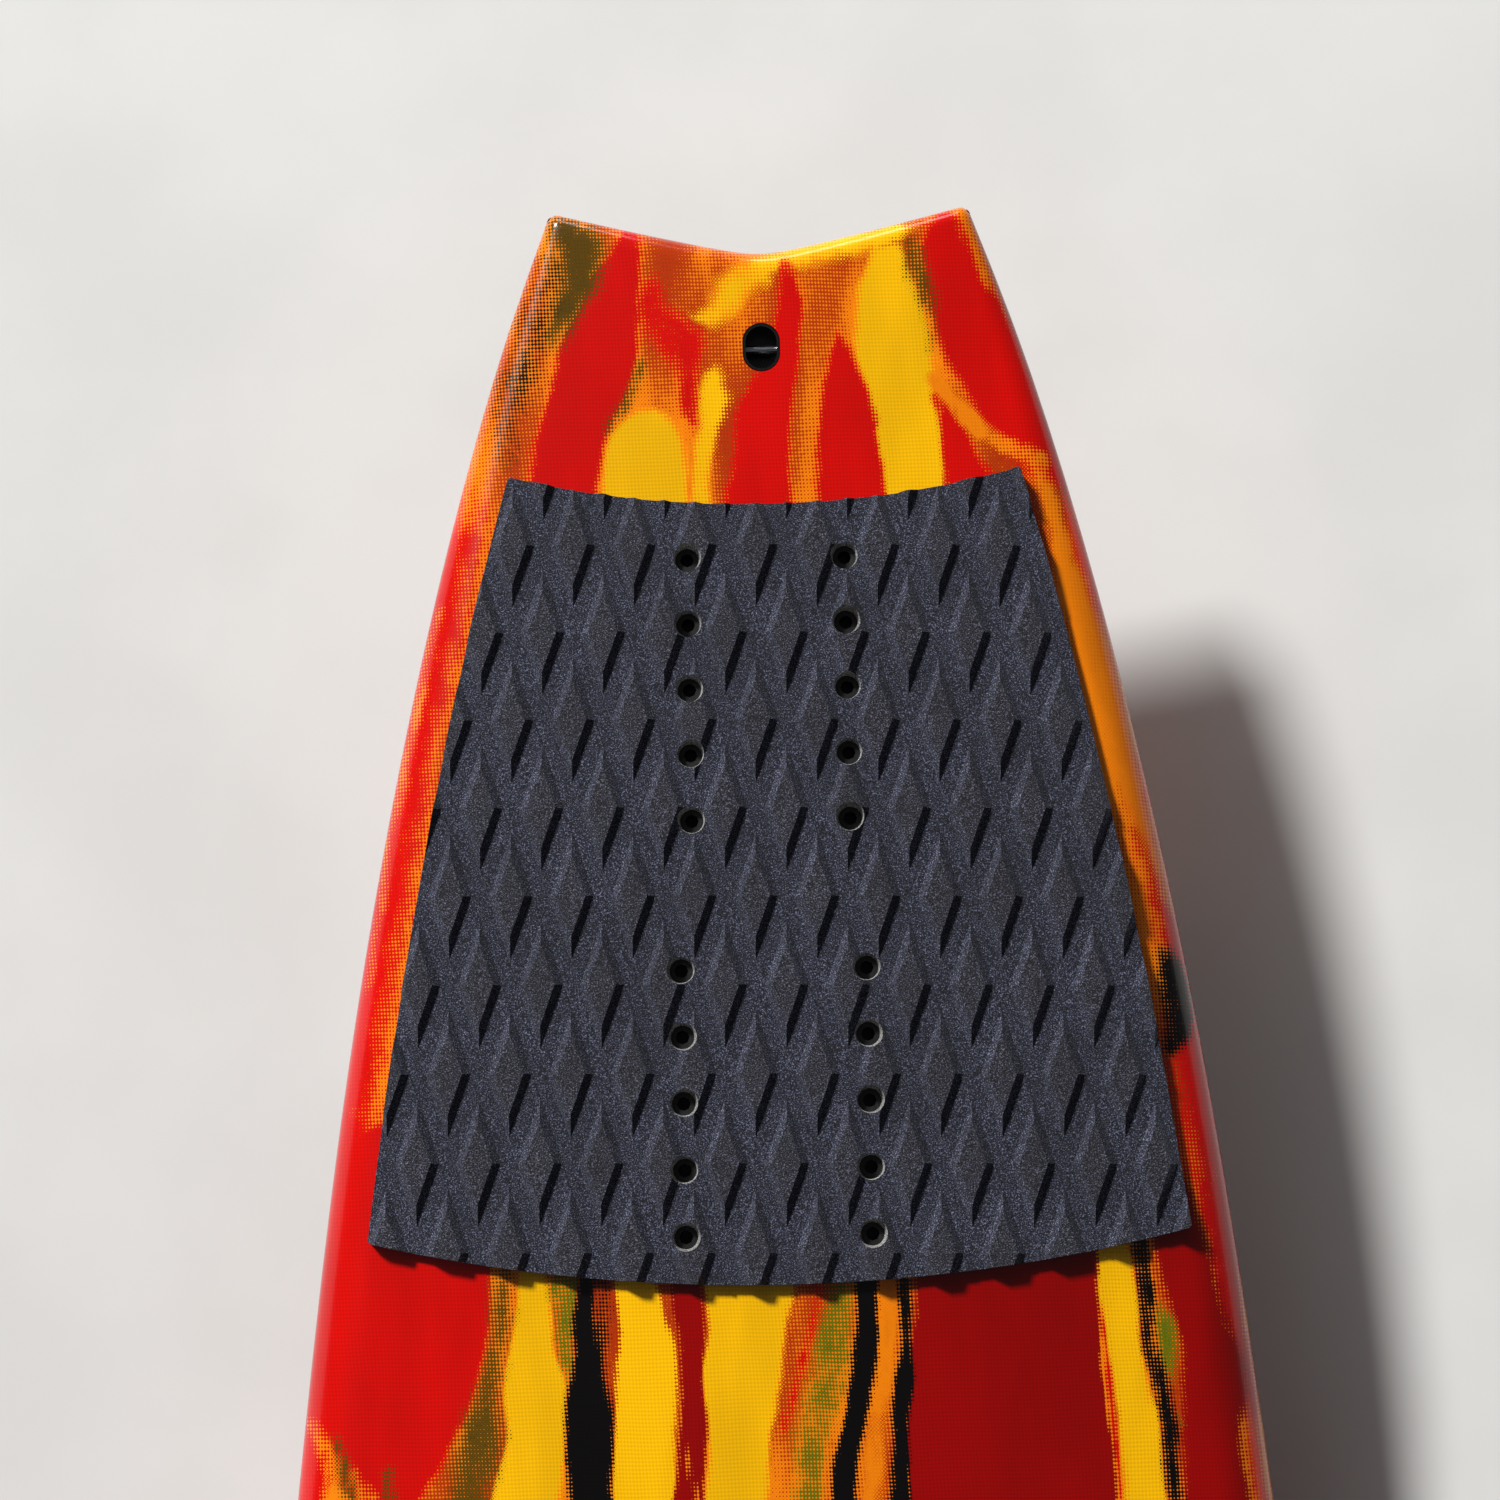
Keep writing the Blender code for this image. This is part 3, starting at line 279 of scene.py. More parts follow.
# Brush strokes of tint, two of them thin orange painted highlights along the rail edges: an ink, how much
# of the cloth it fills at its middle (1 is solid), how soft its edge is, and its path as (x from the centre
# line, distance from the tail tips, half width), all in millimetres.
STREAKS = [
    # tail
    ("yellow", 1.00, 2.4, [(50, 21, 7), (49, 35, 11), (50, 44, 13), (51, 59, 14.5), (52, 75, 13),
        (56, 94, 12.5), (59, 128, 12)]),
    ("yellow", 1.00, 2.0, [(-44, 87, 7), (-46, 96, 14), (-46, 107, 16), (-46, 128, 16)]),
    ("yellow", 1.00, 2.6, [(-18, 69, 4.5), (-18, 78, 5.5), (-20, 87, 3.5), (-23, 97, 3),
        (-23, 123, 3.5)]),
    ("yellow", 0.86, 4.0, [(-2, 22, 3), (19, 17, 4.5), (37, 12, 5), (53, 9, 5)]),
    ("yellow", 0.74, 5.0, [(-25, 44, 3), (-17, 42, 5), (-12, 33, 6), (-2, 25, 5)]),
    ("red", 1.00, 2.2, [(-50, 12, 4), (-52, 22, 7), (-57, 35, 11), (-59, 45, 13.5), (-63, 59, 15.5),
        (-68, 75, 14.5), (-75, 94, 13), (-79, 128, 13)]),
    ("red", 0.86, 3.5, [(-40, 31, 4), (-40, 42, 7), (-34, 51, 9), (-28, 65, 6), (-28, 78, 4),
        (-26, 86, 2)]),
    ("red", 1.00, 2.0, [(9, 21, 1.5), (11, 35, 5), (10, 51, 5.5), (8, 62, 7), (3, 75, 9.5), (1, 87, 11),
        (0, 101, 12), (-2, 128, 12)]),
    ("red", 1.00, 2.0, [(31, 49, 1.5), (31, 63, 5), (32, 75, 8), (33, 87, 10.5), (33, 97, 12),
        (35, 128, 12)]),
    ("red", 1.00, 3.0, [(73, 6, 6), (71, 20, 10), (74, 35, 12), (83, 51, 16), (88, 66, 15),
        (97, 81, 12), (109, 101, 11)]),
    ("red", 1.00, 2.0, [(67, 78, 1.5), (72, 90, 5), (77, 101, 8), (85, 128, 9)]),
    ("orange", 0.62, 2.0, [(65, 70, 2.5), (72, 80, 3.5), (86, 90, 3.5), (105, 102, 4)]),
    ("olive", 0.90, 5.0, [(-73, 11, 8), (-69, 19, 10), (-71, 29, 9), (-77, 41, 6), (-81, 53, 3)]),
    ("olive", 0.55, 7.0, [(-80, 22, 6), (-87, 40, 8), (-91, 58, 8), (-96, 80, 6), (-101, 98, 3)]),
    ("olive", 0.72, 4.0, [(57, 12, 2), (60, 24, 4), (63, 35, 3.5), (65, 48, 2), (65, 58, 1)]),
    ("olive", 0.70, 4.0, [(-45, 62, 2), (-50, 72, 2.5), (-56, 82, 3), (-60, 90, 1.5)]),
    ("black", 0.50, 8.0, [(-82, 26, 5), (-87, 40, 7), (-90, 58, 7), (-95, 78, 5), (-100, 95, 2)]),
    ("black", 0.30, 7.0, [(-10, 52, 1.5), (-7, 60, 1)]),
    # rails beside the rear pad
    ("orange", 0.72, 4.0, [(105, 107, 3), (113, 134, 4.5), (120, 159, 6), (129, 180, 7),
        (134, 203, 6.5), (141, 228, 5), (146, 249, 4), (152, 272, 3)]),
    # painted highlight: this thin orange line along the right rail's edge stands in for light catching the
    # rail
    ("orange", 0.80, 2.0, [(157, 290, 1.5), (163, 320, 1.5), (170, 358, 1.5), (174, 395, 1.5),
        (180, 445, 2), (184, 505, 2)]),
    # painted highlight: this thin orange line along the left rail's edge stands in for light catching the
    # rail
    ("orange", 0.55, 4.0, [(-125, 154, 2), (-138, 205, 2.5), (-146, 245, 2), (-155, 295, 1.5)]),
    ("black", 0.90, 3.0, [(148, 291, 3), (151, 304, 6.5), (153, 318, 5), (150, 327, 2.5)]),
    ("red", 0.90, 8.0, [(-109, 115, 3), (-123, 154, 11), (-137, 204, 13), (-148, 255, 15),
        (-160, 305, 17), (-168, 355, 18), (-173, 405, 16)]),
    ("red", 0.90, 6.0, [(140, 245, 3), (152, 275, 8), (160, 305, 12), (166, 355, 13), (171, 405, 13),
        (176, 455, 10)]),
    # between the pads and on to the nose
    ("yellow", 1.00, 1.6, [(-94, 385, 3), (-93, 412, 4.5), (-92, 423, 6.5), (-93, 433, 8),
        (-92, 446, 11), (-91, 459, 12), (-92, 471, 12), (-97, 497, 13), (-102, 606, 16), (-110, 766, 9),
        (-95, 906, 18), (-83, 1086, 12), (-69, 1256, 16), (-49, 1426, 10), (-30, 1566, 6)]),
    ("yellow", 1.00, 1.6, [(-55, 385, 7), (-54, 414, 8), (-52, 427, 8.5), (-51, 444, 10.5),
        (-52, 459, 11.5), (-52, 474, 11.5), (-53, 497, 11), (-43, 606, 8), (-36, 706, 14),
        (-30, 866, 10), (-20, 1006, 16), (-26, 1156, 8), (-10, 1336, 14), (-8, 1506, 8), (0, 1606, 5)]),
    ("yellow", 1.00, 1.8, [(-12, 385, 16), (-12, 414, 15.5), (-13, 433, 14.5), (-15, 452, 14),
        (-16, 471, 12), (-18, 497, 11), (0, 606, 12), (14, 746, 18), (22, 906, 10), (30, 1086, 16),
        (24, 1246, 9), (34, 1386, 12), (24, 1526, 7)]),
    ("yellow", 0.90, 1.6, [(123, 385, 6), (125, 406, 7), (127, 421, 7), (128, 435, 7), (130, 452, 7),
        (132, 471, 8), (134, 497, 9), (144, 626, 6), (148, 786, 12), (146, 956, 8), (132, 1126, 12),
        (110, 1286, 7)]),
    ("red", 1.00, 2.4, [(-141, 385, 33), (-141, 412, 33), (-144, 433, 32), (-147, 452, 29.5),
        (-151, 466, 26), (-152, 476, 20), (-144, 486, 11)]),
    ("red", 1.00, 3.0, [(-169, 405, 10), (-178, 455, 8), (-182, 526, 10), (-160, 646, 26),
        (-158, 806, 30), (-150, 966, 22), (-138, 1106, 26), (-116, 1266, 18), (-91, 1406, 16),
        (-59, 1536, 12), (-20, 1646, 8)]),
    ("deep", 1.00, 1.0, [(-35, 385, 6), (-35, 413, 6), (-34, 433, 5.5), (-34, 449, 5), (-33, 459, 5),
        (-34, 474, 5.5), (-36, 497, 6.5), (-22, 606, 10), (-12, 766, 6), (-2, 906, 12), (6, 1056, 7),
        (0, 1206, 14), (12, 1406, 8), (8, 1556, 10)]),
    ("red", 0.90, 1.6, [(14, 405, 1), (13, 421, 1.5), (10, 436, 2), (5, 451, 1.5), (1, 467, 1)]),
    ("deep", 1.00, 1.2, [(86, 385, 34), (86, 413, 34.5), (84, 435, 35), (83, 457, 37), (83, 477, 39),
        (84, 497, 39), (95, 626, 34), (98, 806, 24), (95, 986, 30), (87, 1156, 20), (75, 1326, 16),
        (49, 1486, 12)]),
    ("deep", 1.00, 2.6, [(149, 385, 9), (151, 406, 10.5), (156, 425, 11.5), (162, 444, 12.5),
        (162, 465, 12.5), (163, 497, 13), (175, 646, 9), (179, 806, 12), (173, 986, 8),
        (166, 1126, 5)]),
    ("red", 1.00, 1.2, [(118, 390, 1.5), (118, 411, 1.5), (120, 434, 1.5), (122, 455, 1.5),
        (123, 476, 1), (124, 505, 1.5)]),
    ("orange", 0.50, 1.4, [(-38, 464, 0.5), (-37, 476, 1.5), (-34, 487, 2), (-31, 499, 2)]),
    ("orange", 0.60, 3.0, [(-178, 461, 3), (-166, 484, 7), (-160, 497, 10), (-164, 566, 6)]),
    ("orange", 0.50, 3.0, [(44, 405, 3), (42, 418, 4), (39, 434, 4), (37, 450, 4), (34, 465, 3.5),
        (32, 484, 3.5), (31, 497, 3.5), (45, 586, 3)]),
    ("olive", 0.62, 3.0, [(-169, 467, 2), (-166, 479, 3.5), (-164, 495, 4), (-168, 536, 2)]),
    ("olive", 0.62, 3.0, [(-148, 481, 3), (-148, 500, 3.5), (-154, 546, 3)]),
    ("olive", 0.80, 5.0, [(-104, 390, 3), (-104, 409, 3.5), (-105, 427, 4), (-108, 442, 4.5),
        (-112, 456, 6.5), (-113, 469, 8.5), (-116, 482, 8.5), (-119, 505, 7), (-124, 606, 6),
        (-132, 766, 4)]),
    ("green", 0.66, 2.0, [(-83, 390, 7), (-82, 412, 6.5), (-80, 423, 5), (-80, 436, 4), (-78, 446, 2.5),
        (-78, 457, 1)]),
    ("green", 0.60, 4.0, [(22, 390, 6), (21, 418, 6.5), (19, 435, 7), (17, 448, 7.5), (12, 465, 7.5),
        (10, 481, 7), (8, 497, 6.5), (22, 626, 7), (36, 786, 5), (43, 946, 6)]),
    ("black", 1.00, 1.6, [(-75, 390, 2.5), (-74, 412, 3), (-74, 423, 4), (-72, 436, 5), (-72, 452, 7),
        (-72, 471, 8), (-72, 497, 8), (-65, 566, 10), (-77, 706, 6), (-59, 826, 12), (-69, 986, 5),
        (-49, 1156, 9), (-61, 1306, 3)]),
    ("black", 0.55, 3.0, [(-68, 405, 4), (-67, 420, 4), (-66, 440, 2.5)]),
    ("black", 1.00, 1.4, [(34, 395, 4.5), (33, 415, 4.5), (31, 431, 4.5), (29, 447, 4.5), (26, 465, 4),
        (23, 484, 4), (22, 497, 4), (39, 646, 6), (51, 806, 10), (59, 966, 5), (47, 1126, 8),
        (55, 1286, 3)]),
    ("black", 1.00, 1.4, [(48, 395, 1.5), (47, 417, 2), (46, 435, 2.5), (45, 451, 4), (43, 465, 3.5),
        (42, 484, 4), (42, 497, 4.5), (57, 626, 3), (65, 726, 1)]),
    ("black", 0.96, 1.6, [(136, 390, 3), (136, 406, 2.5), (137, 422, 2.5), (138, 438, 2.5),
        (141, 452, 3.5), (143, 465, 4), (144, 481, 3.5), (147, 497, 3.5), (160, 626, 5),
        (169, 766, 3)]),
    ("green", 0.95, 2.6, [(140, 423, 1.5), (143, 434, 3.5), (144, 441, 3), (143, 451, 1.5),
        (148, 467, 1)]),
]
EDGE_SPREAD = 2.6  # how many times its softness a streak's edge takes to fade
SOLID_MOST = 1.35  # how far a solid ink overfills the cloth
RIM_BAND, RIM_FADE = 15, 12  # the red rim's reach from the edge, in millimetres
RIM_FROM, RIM_FROM_FADE = 135, 40  # where it starts along the board, in millimetres
INKS = ("yellow", "red", "deep", "orange", "olive", "green", "black")


def smooth_path(points, parts=4):
    """A finer path through the points."""
    points = np.array(points, float)
    t = np.concatenate([[0], np.cumsum(np.linalg.norm(np.diff(points[:, :2], axis=0), axis=1))])
    q = np.interp(np.linspace(0, len(t) - 1, parts * (len(t) - 1) + 1), np.arange(len(t)), t)
    return np.stack([natural_spline(list(zip(t, points[:, k])))(q) for k in range(3)], 1)


def wavy(x, y, seed, size):
    """A smooth wander between -1 and 1, of about that size across, all in millimetres."""
    total = np.zeros_like(x)
    for k in range(5):
        turn, phase = 2.4 * k + seed, 1.7 * k * k + 3.1 * seed
        rate = 2 * math.pi / (size * (1 + 0.37 * k))
        total += np.sin(rate * (x * math.cos(turn) + 0.45 * y * math.sin(turn)) + phase)
    return total / 3


def ink_fields(x, d):
    """How much of each ink fills the cloth at each point, given in metres."""
    x, d = x / MM, d / MM
    wx = x + 1.2 * wavy(x, d, 1.0, 46) + 1.1 * wavy(x, d, 2.0, 17) + 0.6 * wavy(x, d, 4.0, 8)
    wd = d + 2.4 * wavy(d, x, 3.0, 60) + 1.6 * wavy(d, x, 5.0, 19)
    fields = {ink: np.full(x.shape, -2.0) for ink in INKS}
    for ink, level, soft, points in STREAKS:
        path = smooth_path(points)
        start, along = path[:-1], np.diff(path, axis=0)
        near = (wd > path[:, 1].min() - 60) & (wd < path[:, 1].max() + 60)
        to = np.stack([wx[near], wd[near]], 1)[:, None] - start[:, :2]
        t = np.clip((to * along[:, :2]).sum(2) / (along[:, :2]**2).sum(1), 0, 1)
        far = np.linalg.norm(to - t[..., None] * along[:, :2], axis=2)
        inside = (start[:, 2] + t * along[:, 2] - far).max(1)
        most = SOLID_MOST if level == 1 else level
        value = np.clip(inside / (EDGE_SPREAD * soft) + 0.5 * level, -2, most)
        fields[ink][near] = np.maximum(fields[ink][near], value)
    rim = edge_distance(x * MM, d * MM) / MM
    before = np.clip((RIM_FROM - d) / RIM_FROM_FADE, 0, 2)
    fields["rim"] = np.clip((RIM_BAND - rim) / RIM_FADE, -1, 1.2) - before
    return fields


# ---------------------------------------------------------------- skins

RAIL_STEPS, DECK_STEPS = 9, 40
TAIL_ROWS = [0.006 * (1 - math.cos(math.radians(a))) for a in (0, 15, 30, 45, 60, 75, 90)]


def base_rows():
    fine = np.arange(0.009, 0.60, 0.003)
    middle = np.arange(0.60, 1.60, 0.008)
    to_nose = LENGTH - 0.08 * np.linspace(1, 0, 26)**2
    return np.concatenate([TAIL_ROWS, fine, middle, to_nose])


def board_grid(inset):
    base = base_rows()
    width = half_width(base)
    rail = np.minimum(deck_rail_at(base), 0.45 * width)
    turn = np.radians(np.linspace(0, 90, RAIL_STEPS + 1))
    outer = width[:, None] - rail[:, None] * (1 - np.cos(turn))
    inner = (width - rail)[:, None] * np.linspace(1, 0, DECK_STEPS + 1)[1:]
    half = np.concatenate([outer, inner], 1)
    u = np.concatenate([-half, half[:, -2::-1]], 1) / np.maximum(width, 1e-9)[:, None]
    u[-1] = u[-2]
    fade = np.clip(1 - base / NOTCH_REACH, 0, 1)[:, None]
    to_nose = np.clip(1 - (LENGTH - base) / NOTCH_REACH, 0, 1)[:, None]
    d = base[:, None] + tail_edge(u) * fade
    x = u * np.clip(half_width(d) - inset, 0, None)
    return x, d + inset * (fade - to_nose)


def sheet_points(height, inset, lift):
    x, d = board_grid(inset)
    e = np.clip(edge_distance(x, d) - inset, 0, None)
    e[0] = e[-1] = 0
    e[:, 0] = e[:, -1] = 0
    return np.stack([x, board_y(d), height(x, d, inset, e) + lift], 2)


def skin(name, height, lift, openings):
    """A thin closed shell over the deck or the bottom, with openings for the fittings."""
    sheets = [sheet_points(height, inset, lift) for inset in (0.0, SKIN)]
    rows, columns = sheets[0].shape[:2]
    index = np.arange(rows * columns).reshape(rows, columns)
    quads = np.stack([index[:-1, :-1], index[:-1, 1:], index[1:, 1:], index[1:, :-1]], 2).reshape(-1, 4)
    rim = np.concatenate([index[0, :-1], index[:-1, -1], index[-1, :0:-1], index[:0:-1, 0]])
    count = rows * columns
    band = np.stack([rim, np.roll(rim, -1), np.roll(rim, -1) + count, rim + count], 1)
    up = height is deck_height
    outer = quads[:, ::-1] if up else quads
    inner = (quads if up else quads[:, ::-1]) + count
    band = band if up else band[:, ::-1]
    verts = np.concatenate([s.reshape(-1, 3) for s in sheets])
    obj = mesh_object(name, verts, np.concatenate([outer, inner, band]).tolist())
    clean(obj, 1e-5)
    cut(obj, joined(openings))
    smooth(obj, 40)
    paint(obj)
    into_place(obj)
    return obj


def paint(obj):
    """Writes the ink fields on the mesh's points, one attribute for each ink."""
    points = np.array([v.co for v in obj.data.vertices])
    fields = ink_fields(points[:, 0], LENGTH / 2 - points[:, 1])
    for ink, values in fields.items():
        attribute = obj.data.attributes.new("ink_" + ink, "FLOAT", "POINT")
        attribute.data.foreach_set("value", values.astype(np.float32))


# ---------------------------------------------------------------- grooved pads

# The grooves cross on a lattice of diamonds. p and q count diamonds along its two families of grooves.
HALF_PITCH, ROW_PITCH = 11.58 * MM, 33.5 * MM
LATTICE_AT, LATTICE_TURN = (-0.0186, 0.3009), math.radians(-1.15)
TOP_EDGE, WALL_FOOT, DEEP_FOOT = 0.232, 0.357, 0.376
GROOVE, DEEP_GROOVE = 3.0 * MM, 3.45 * MM
PAD_LIFT = GAP
PAD_CUT = (-4 * MM, 20 * MM)  # the reach of the cutters below and above a pad's foot
HOLE_RIM, HOLE_TAPER = 0.4 * MM, 0.15
FRONT_LATTICE_AT = (0.0805, 0.800)
PAD_CORNER = 2.0 * MM


def groove_lines(low, high, deep):
    """(place, height below the top) of each line that runs along one family of grooves."""
    lines = []
    for k in range(math.floor(low), math.ceil(high) + 1):
        half = [(0, 0), (TOP_EDGE * 0.55, 0), (TOP_EDGE, 0), (WALL_FOOT, GROOVE)]
        half += [(DEEP_FOOT, DEEP_GROOVE), (0.5, DEEP_GROOVE)] if deep else [(0.5, GROOVE)]
        lines += [(k - at, drop) for at, drop in half[1:-1]] + [(k + at, drop) for at, drop in half]
    return sorted(set((round(at, 6), drop) for at, drop in lines))


def lattice_solid(outline, at, turn):
    """(verts, faces) of a grooved slab that covers the outline, flat, in plan coordinates."""
    outline = np.array(outline)
    spin = np.array([[math.cos(turn), -math.sin(turn)], [math.sin(turn), math.cos(turn)]])
    local = (outline - at) @ spin.T
    margin = 12 * MM
    x0, y0 = local.min(0) - margin
    x1, y1 = local.max(0) + margin
    reach = [(x / (2 * HALF_PITCH) + s * y / (2 * ROW_PITCH)) for x in (x0, x1) for y in (y0, y1)
             for s in (1, -1)]
    p_lines = groove_lines(min(reach[::2]), max(reach[::2]), False)
    q_lines = groove_lines(min(reach[1::2]), max(reach[1::2]), True)
    p, hp = np.array(p_lines).T
    q, hq = np.array(q_lines).T
    x = HALF_PITCH * (p[:, None] + q[None])
    y = ROW_PITCH * (p[:, None] - q[None])
    drop = np.maximum(hp[:, None], hq[None])
    cx = (x[1:, 1:] + x[:-1, :-1]) / 2
    cy = (y[1:, 1:] + y[:-1, :-1]) / 2
    keep = (cx > x0) & (cx < x1) & (cy > y0) & (cy < y1)
    used, index, verts, quads = {}, 0, [], []

    def vert(i, j):
        if (i, j) not in used:
            used[i, j] = len(verts)
            flat = spin.T @ (x[i, j], y[i, j]) + at
            verts.append((flat[0], flat[1], PAD_THICKNESS - drop[i, j]))
        return used[i, j]

    for i, j in zip(*np.nonzero(keep)):
        a, b, c, d = vert(i, j), vert(i + 1, j), vert(i + 1, j + 1), vert(i, j + 1)
        heights = [verts[k][2] for k in (a, b, c, d)]
        if abs(heights[0] + heights[2] - heights[1] - heights[3]) < 1e-7:
            quads.append((d, c, b, a))
        elif heights[0] + heights[2] > heights[1] + heights[3]:
            quads += [(c, b, a), (d, c, a)]
        else:
            quads += [(d, b, a), (d, c, b)]
    return close_below(verts, quads)


def close_below(verts, faces):
    """Adds a flat bottom at height 0 and walls to a sheet."""
    count = len(verts)
    verts = verts + [(x, y, 0.0) for x, y, _ in verts]
    edges = {}
    for f in faces:
        for a, b in zip(f, f[1:] + f[:1]):
            edges[a, b] = True
    walls = [(b, a, a + count, b + count) for a, b in edges if (b, a) not in edges]
    bottom = [tuple(i + count for i in reversed(f)) for f in faces]
    return verts, list(faces) + bottom + walls


def rounded(points, radius, count=5):
    """The closed outline with each corner sharper than 30 degrees rounded."""
    points = [Vector(p) for p in points]
    out = []
    for i, here in enumerate(points):
        before, after = points[i - 1] - here, points[(i + 1) % len(points)] - here
        turn = math.pi - before.angle(after)
        if turn < math.radians(30):
            out.append(here)
            continue
        cut_at = radius * math.tan(turn / 2)
        a, b = here + before.normalized() * cut_at, here + after.normalized() * cut_at
        for k in range(count + 1):
            t = k / count
            out.append(a * (1 - t)**2 + here * 2 * t * (1 - t) + b * t * t)
    return [tuple(p) for p in out]


def pad_outline(pad, sides):
    """Plan outline (x, d) of a pad between two shares of its half width.

    A half pad keeps off the centre line.
    """
    def point(share, along):
        d = (pad["tail"] + pad["tail_sag"] * share**2) * (1 - along)
        d = d + (pad["nose"] + pad["nose_sag"] * share**2) * along
        x = share * (half_width(d) - pad["inset"])
        if sides != (-1, 1):
            x = sum(sides) * max(abs(x), PAD_SPLIT)
        return float(x), float(d)

    u = np.linspace(sides[0], sides[1], 61)
    v = np.linspace(0, 1, 81)
    edge = [point(s, 0) for s in u[:-1]] + [point(u[-1], t) for t in v[:-1]]
    edge += [point(s, 1) for s in u[:0:-1]] + [point(u[0], t) for t in v[:0:-1]]
    return [p for i, p in enumerate(edge) if math.dist(p, edge[i - 1]) > 0.8 * MM]


def insert_holes(rows):
    return [(side * half, first + i * HOLE_PITCH) for first, half, count in (INSERT_ROWS[r] for r in rows)
            for side in (-1, 1) for i in range(count)]


def punched_hole(x, d):
    """(verts, faces) of a hole that narrows a little on its way down, as in punched foam."""
    count, verts = 32, []
    rim = PAD_THICKNESS - HOLE_RIM
    for z in (PAD_CUT[0], rim, PAD_CUT[1]):
        radius = min(PAD_HOLE_R, PAD_HOLE_R - (rim - z) * HOLE_TAPER)
        verts += [(a, b, z) for a, b in circle(radius, count, x, d)]
    faces = [tuple(range(count))[::-1], tuple(range(2 * count, 3 * count))]
    for low in (0, count):
        faces += [(low + i, low + (i + 1) % count, low + count + (i + 1) % count, low + count + i)
                  for i in range(count)]
    return verts, faces


def pad_part(normal, centre, holes):
    """0 for a groove or a side, 1 for the flat top of a diamond, 2 for the wall of a hole, which is painted
    near white as a painted highlight.
    """
    if normal.z > 0.98 and centre.z > PAD_THICKNESS - 0.1 * MM:
        return 1
    if abs(normal.z) < 0.4 and any(math.hypot(centre.x - x, centre.y - d) < PAD_HOLE_R + 0.1 * MM
                                   for x, d in holes):
        return 2
    return 0


def pad(name, shape, sides, holes, lattice_at, turn):
    """A foam pad, cut with the lattice of grooves, holed for the strap screws and laid on the deck."""
    outline = rounded(pad_outline(shape, sides), PAD_CORNER)
    obj = mesh_object(name, *lattice_solid(outline, lattice_at, turn))
    cut(obj, prism(outline, *PAD_CUT), "INTERSECT")
    cut(obj, joined([punched_hole(x, d) for x, d in holes]))
    mesh = obj.data
    co = np.empty(len(mesh.vertices) * 3)
    mesh.vertices.foreach_get("co", co)
    co = co.reshape(-1, 3)
    x, d, h = co.T
    parts = [pad_part(f.normal, f.center, holes) for f in mesh.polygons]
    floor = deck_height(x, d) + PAD_LIFT
    placed = np.stack([x, board_y(d), floor + h], 1)
    mesh.vertices.foreach_set("co", placed.ravel())
    mesh.flip_normals()
    wear(obj, "foam_groove", "foam_plateau", "foam_hole_painted_highlight")
    mesh.polygons.foreach_set("material_index", parts)
    smooth(obj, 24)
    into_place(obj)
    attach(obj, "board")
    return obj


# ---------------------------------------------------------------- fins

FIN_SPANS, FIN_CHORDS = 44, 36
FIN_SWEEP, FIN_HOLLOW = 0.026, 0.010  # how far the trailing edge rakes back, and bows in halfway
TIP_THINNING = 0.7
INNER_FACE, OUTER_FACE = 0.15, 0.85  # shares of a side fin's thickness


def fin_frame(label):
    d, from_rail, toe = FIN_PLACES[label]
    side = {"centre": 0, "left": -1, "right": 1}[label]
    x = side * (float(half_width(d)) - from_rail) if side else 0.0
    return side, surface_frame(bottom_height, x, d) @ Matrix.Rotation(math.radians(toe) * side, 4, "Z")


def fin(label):
    """A raked foil, flat on its inner face at the sides, on two tabs."""
    side, place = fin_frame(label)
    lean = Matrix.Shear("XY", 4, (-side * math.tan(math.radians(FIN_CANT)), 0))
    verts, faces, grids = [], [], []
    for face_sign in (-1, 1):
        grid = []
        for i in range(FIN_SPANS + 1):
            s = math.sin(math.pi / 2 * i / FIN_SPANS)
            chord = FIN_BASE * max(1 - s**1.4, 0)**0.75
            trailing = FIN_BASE / 2 - FIN_HOLLOW * math.sin(math.pi * s) + FIN_SWEEP * s * s
            thick = FIN_THICK * (1 - TIP_THINNING * s) * (1 if chord > 0 else 0)
            row = []
            for j in range(FIN_CHORDS + 1):
                c = (1 - math.cos(math.pi * j / FIN_CHORDS)) / 2
                share = 0.5 if side == 0 else (OUTER_FACE if face_sign == side else INNER_FACE)
                x = face_sign * thick * 2.6 * math.sqrt(c) * (1 - c) * share
                row.append(len(verts))
                verts.append(lean @ Vector((x, trailing - chord * (1 - c), -GAP - FIN_DEPTH * s)))
            grid.append(row)
        grids.append(grid)
        for a, b in zip(grid, grid[1:]):
            faces += [(a[j], a[j + 1], b[j + 1], b[j]) for j in range(FIN_CHORDS)]
    low, high = grids[0][0], grids[1][0]
    faces += [(low[j], low[j + 1], high[j + 1], high[j]) for j in range(FIN_CHORDS)]
    obj = mesh_object("fin_%s_blade" % label, verts, faces)
    clean(obj, 2e-5)
    x, y = TAB_THICK / 2, TAB_LENGTH / 2
    tabs = [prism([(x, c + y), (-x, c + y), (-x, c - y), (x, c - y)], -0.7 * MM, TAB_DEPTH)
            for c in (-TAB_AT, TAB_AT)]
    cut(obj, joined(tabs), "UNION", "EXACT")
    obj.data.transform(place)
    smooth(obj, 40)
    wear(obj, "fin_glass")
    into_place(obj)
    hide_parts("fin_" + label)
    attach(obj, "fin_" + label)


# ---------------------------------------------------------------- materials

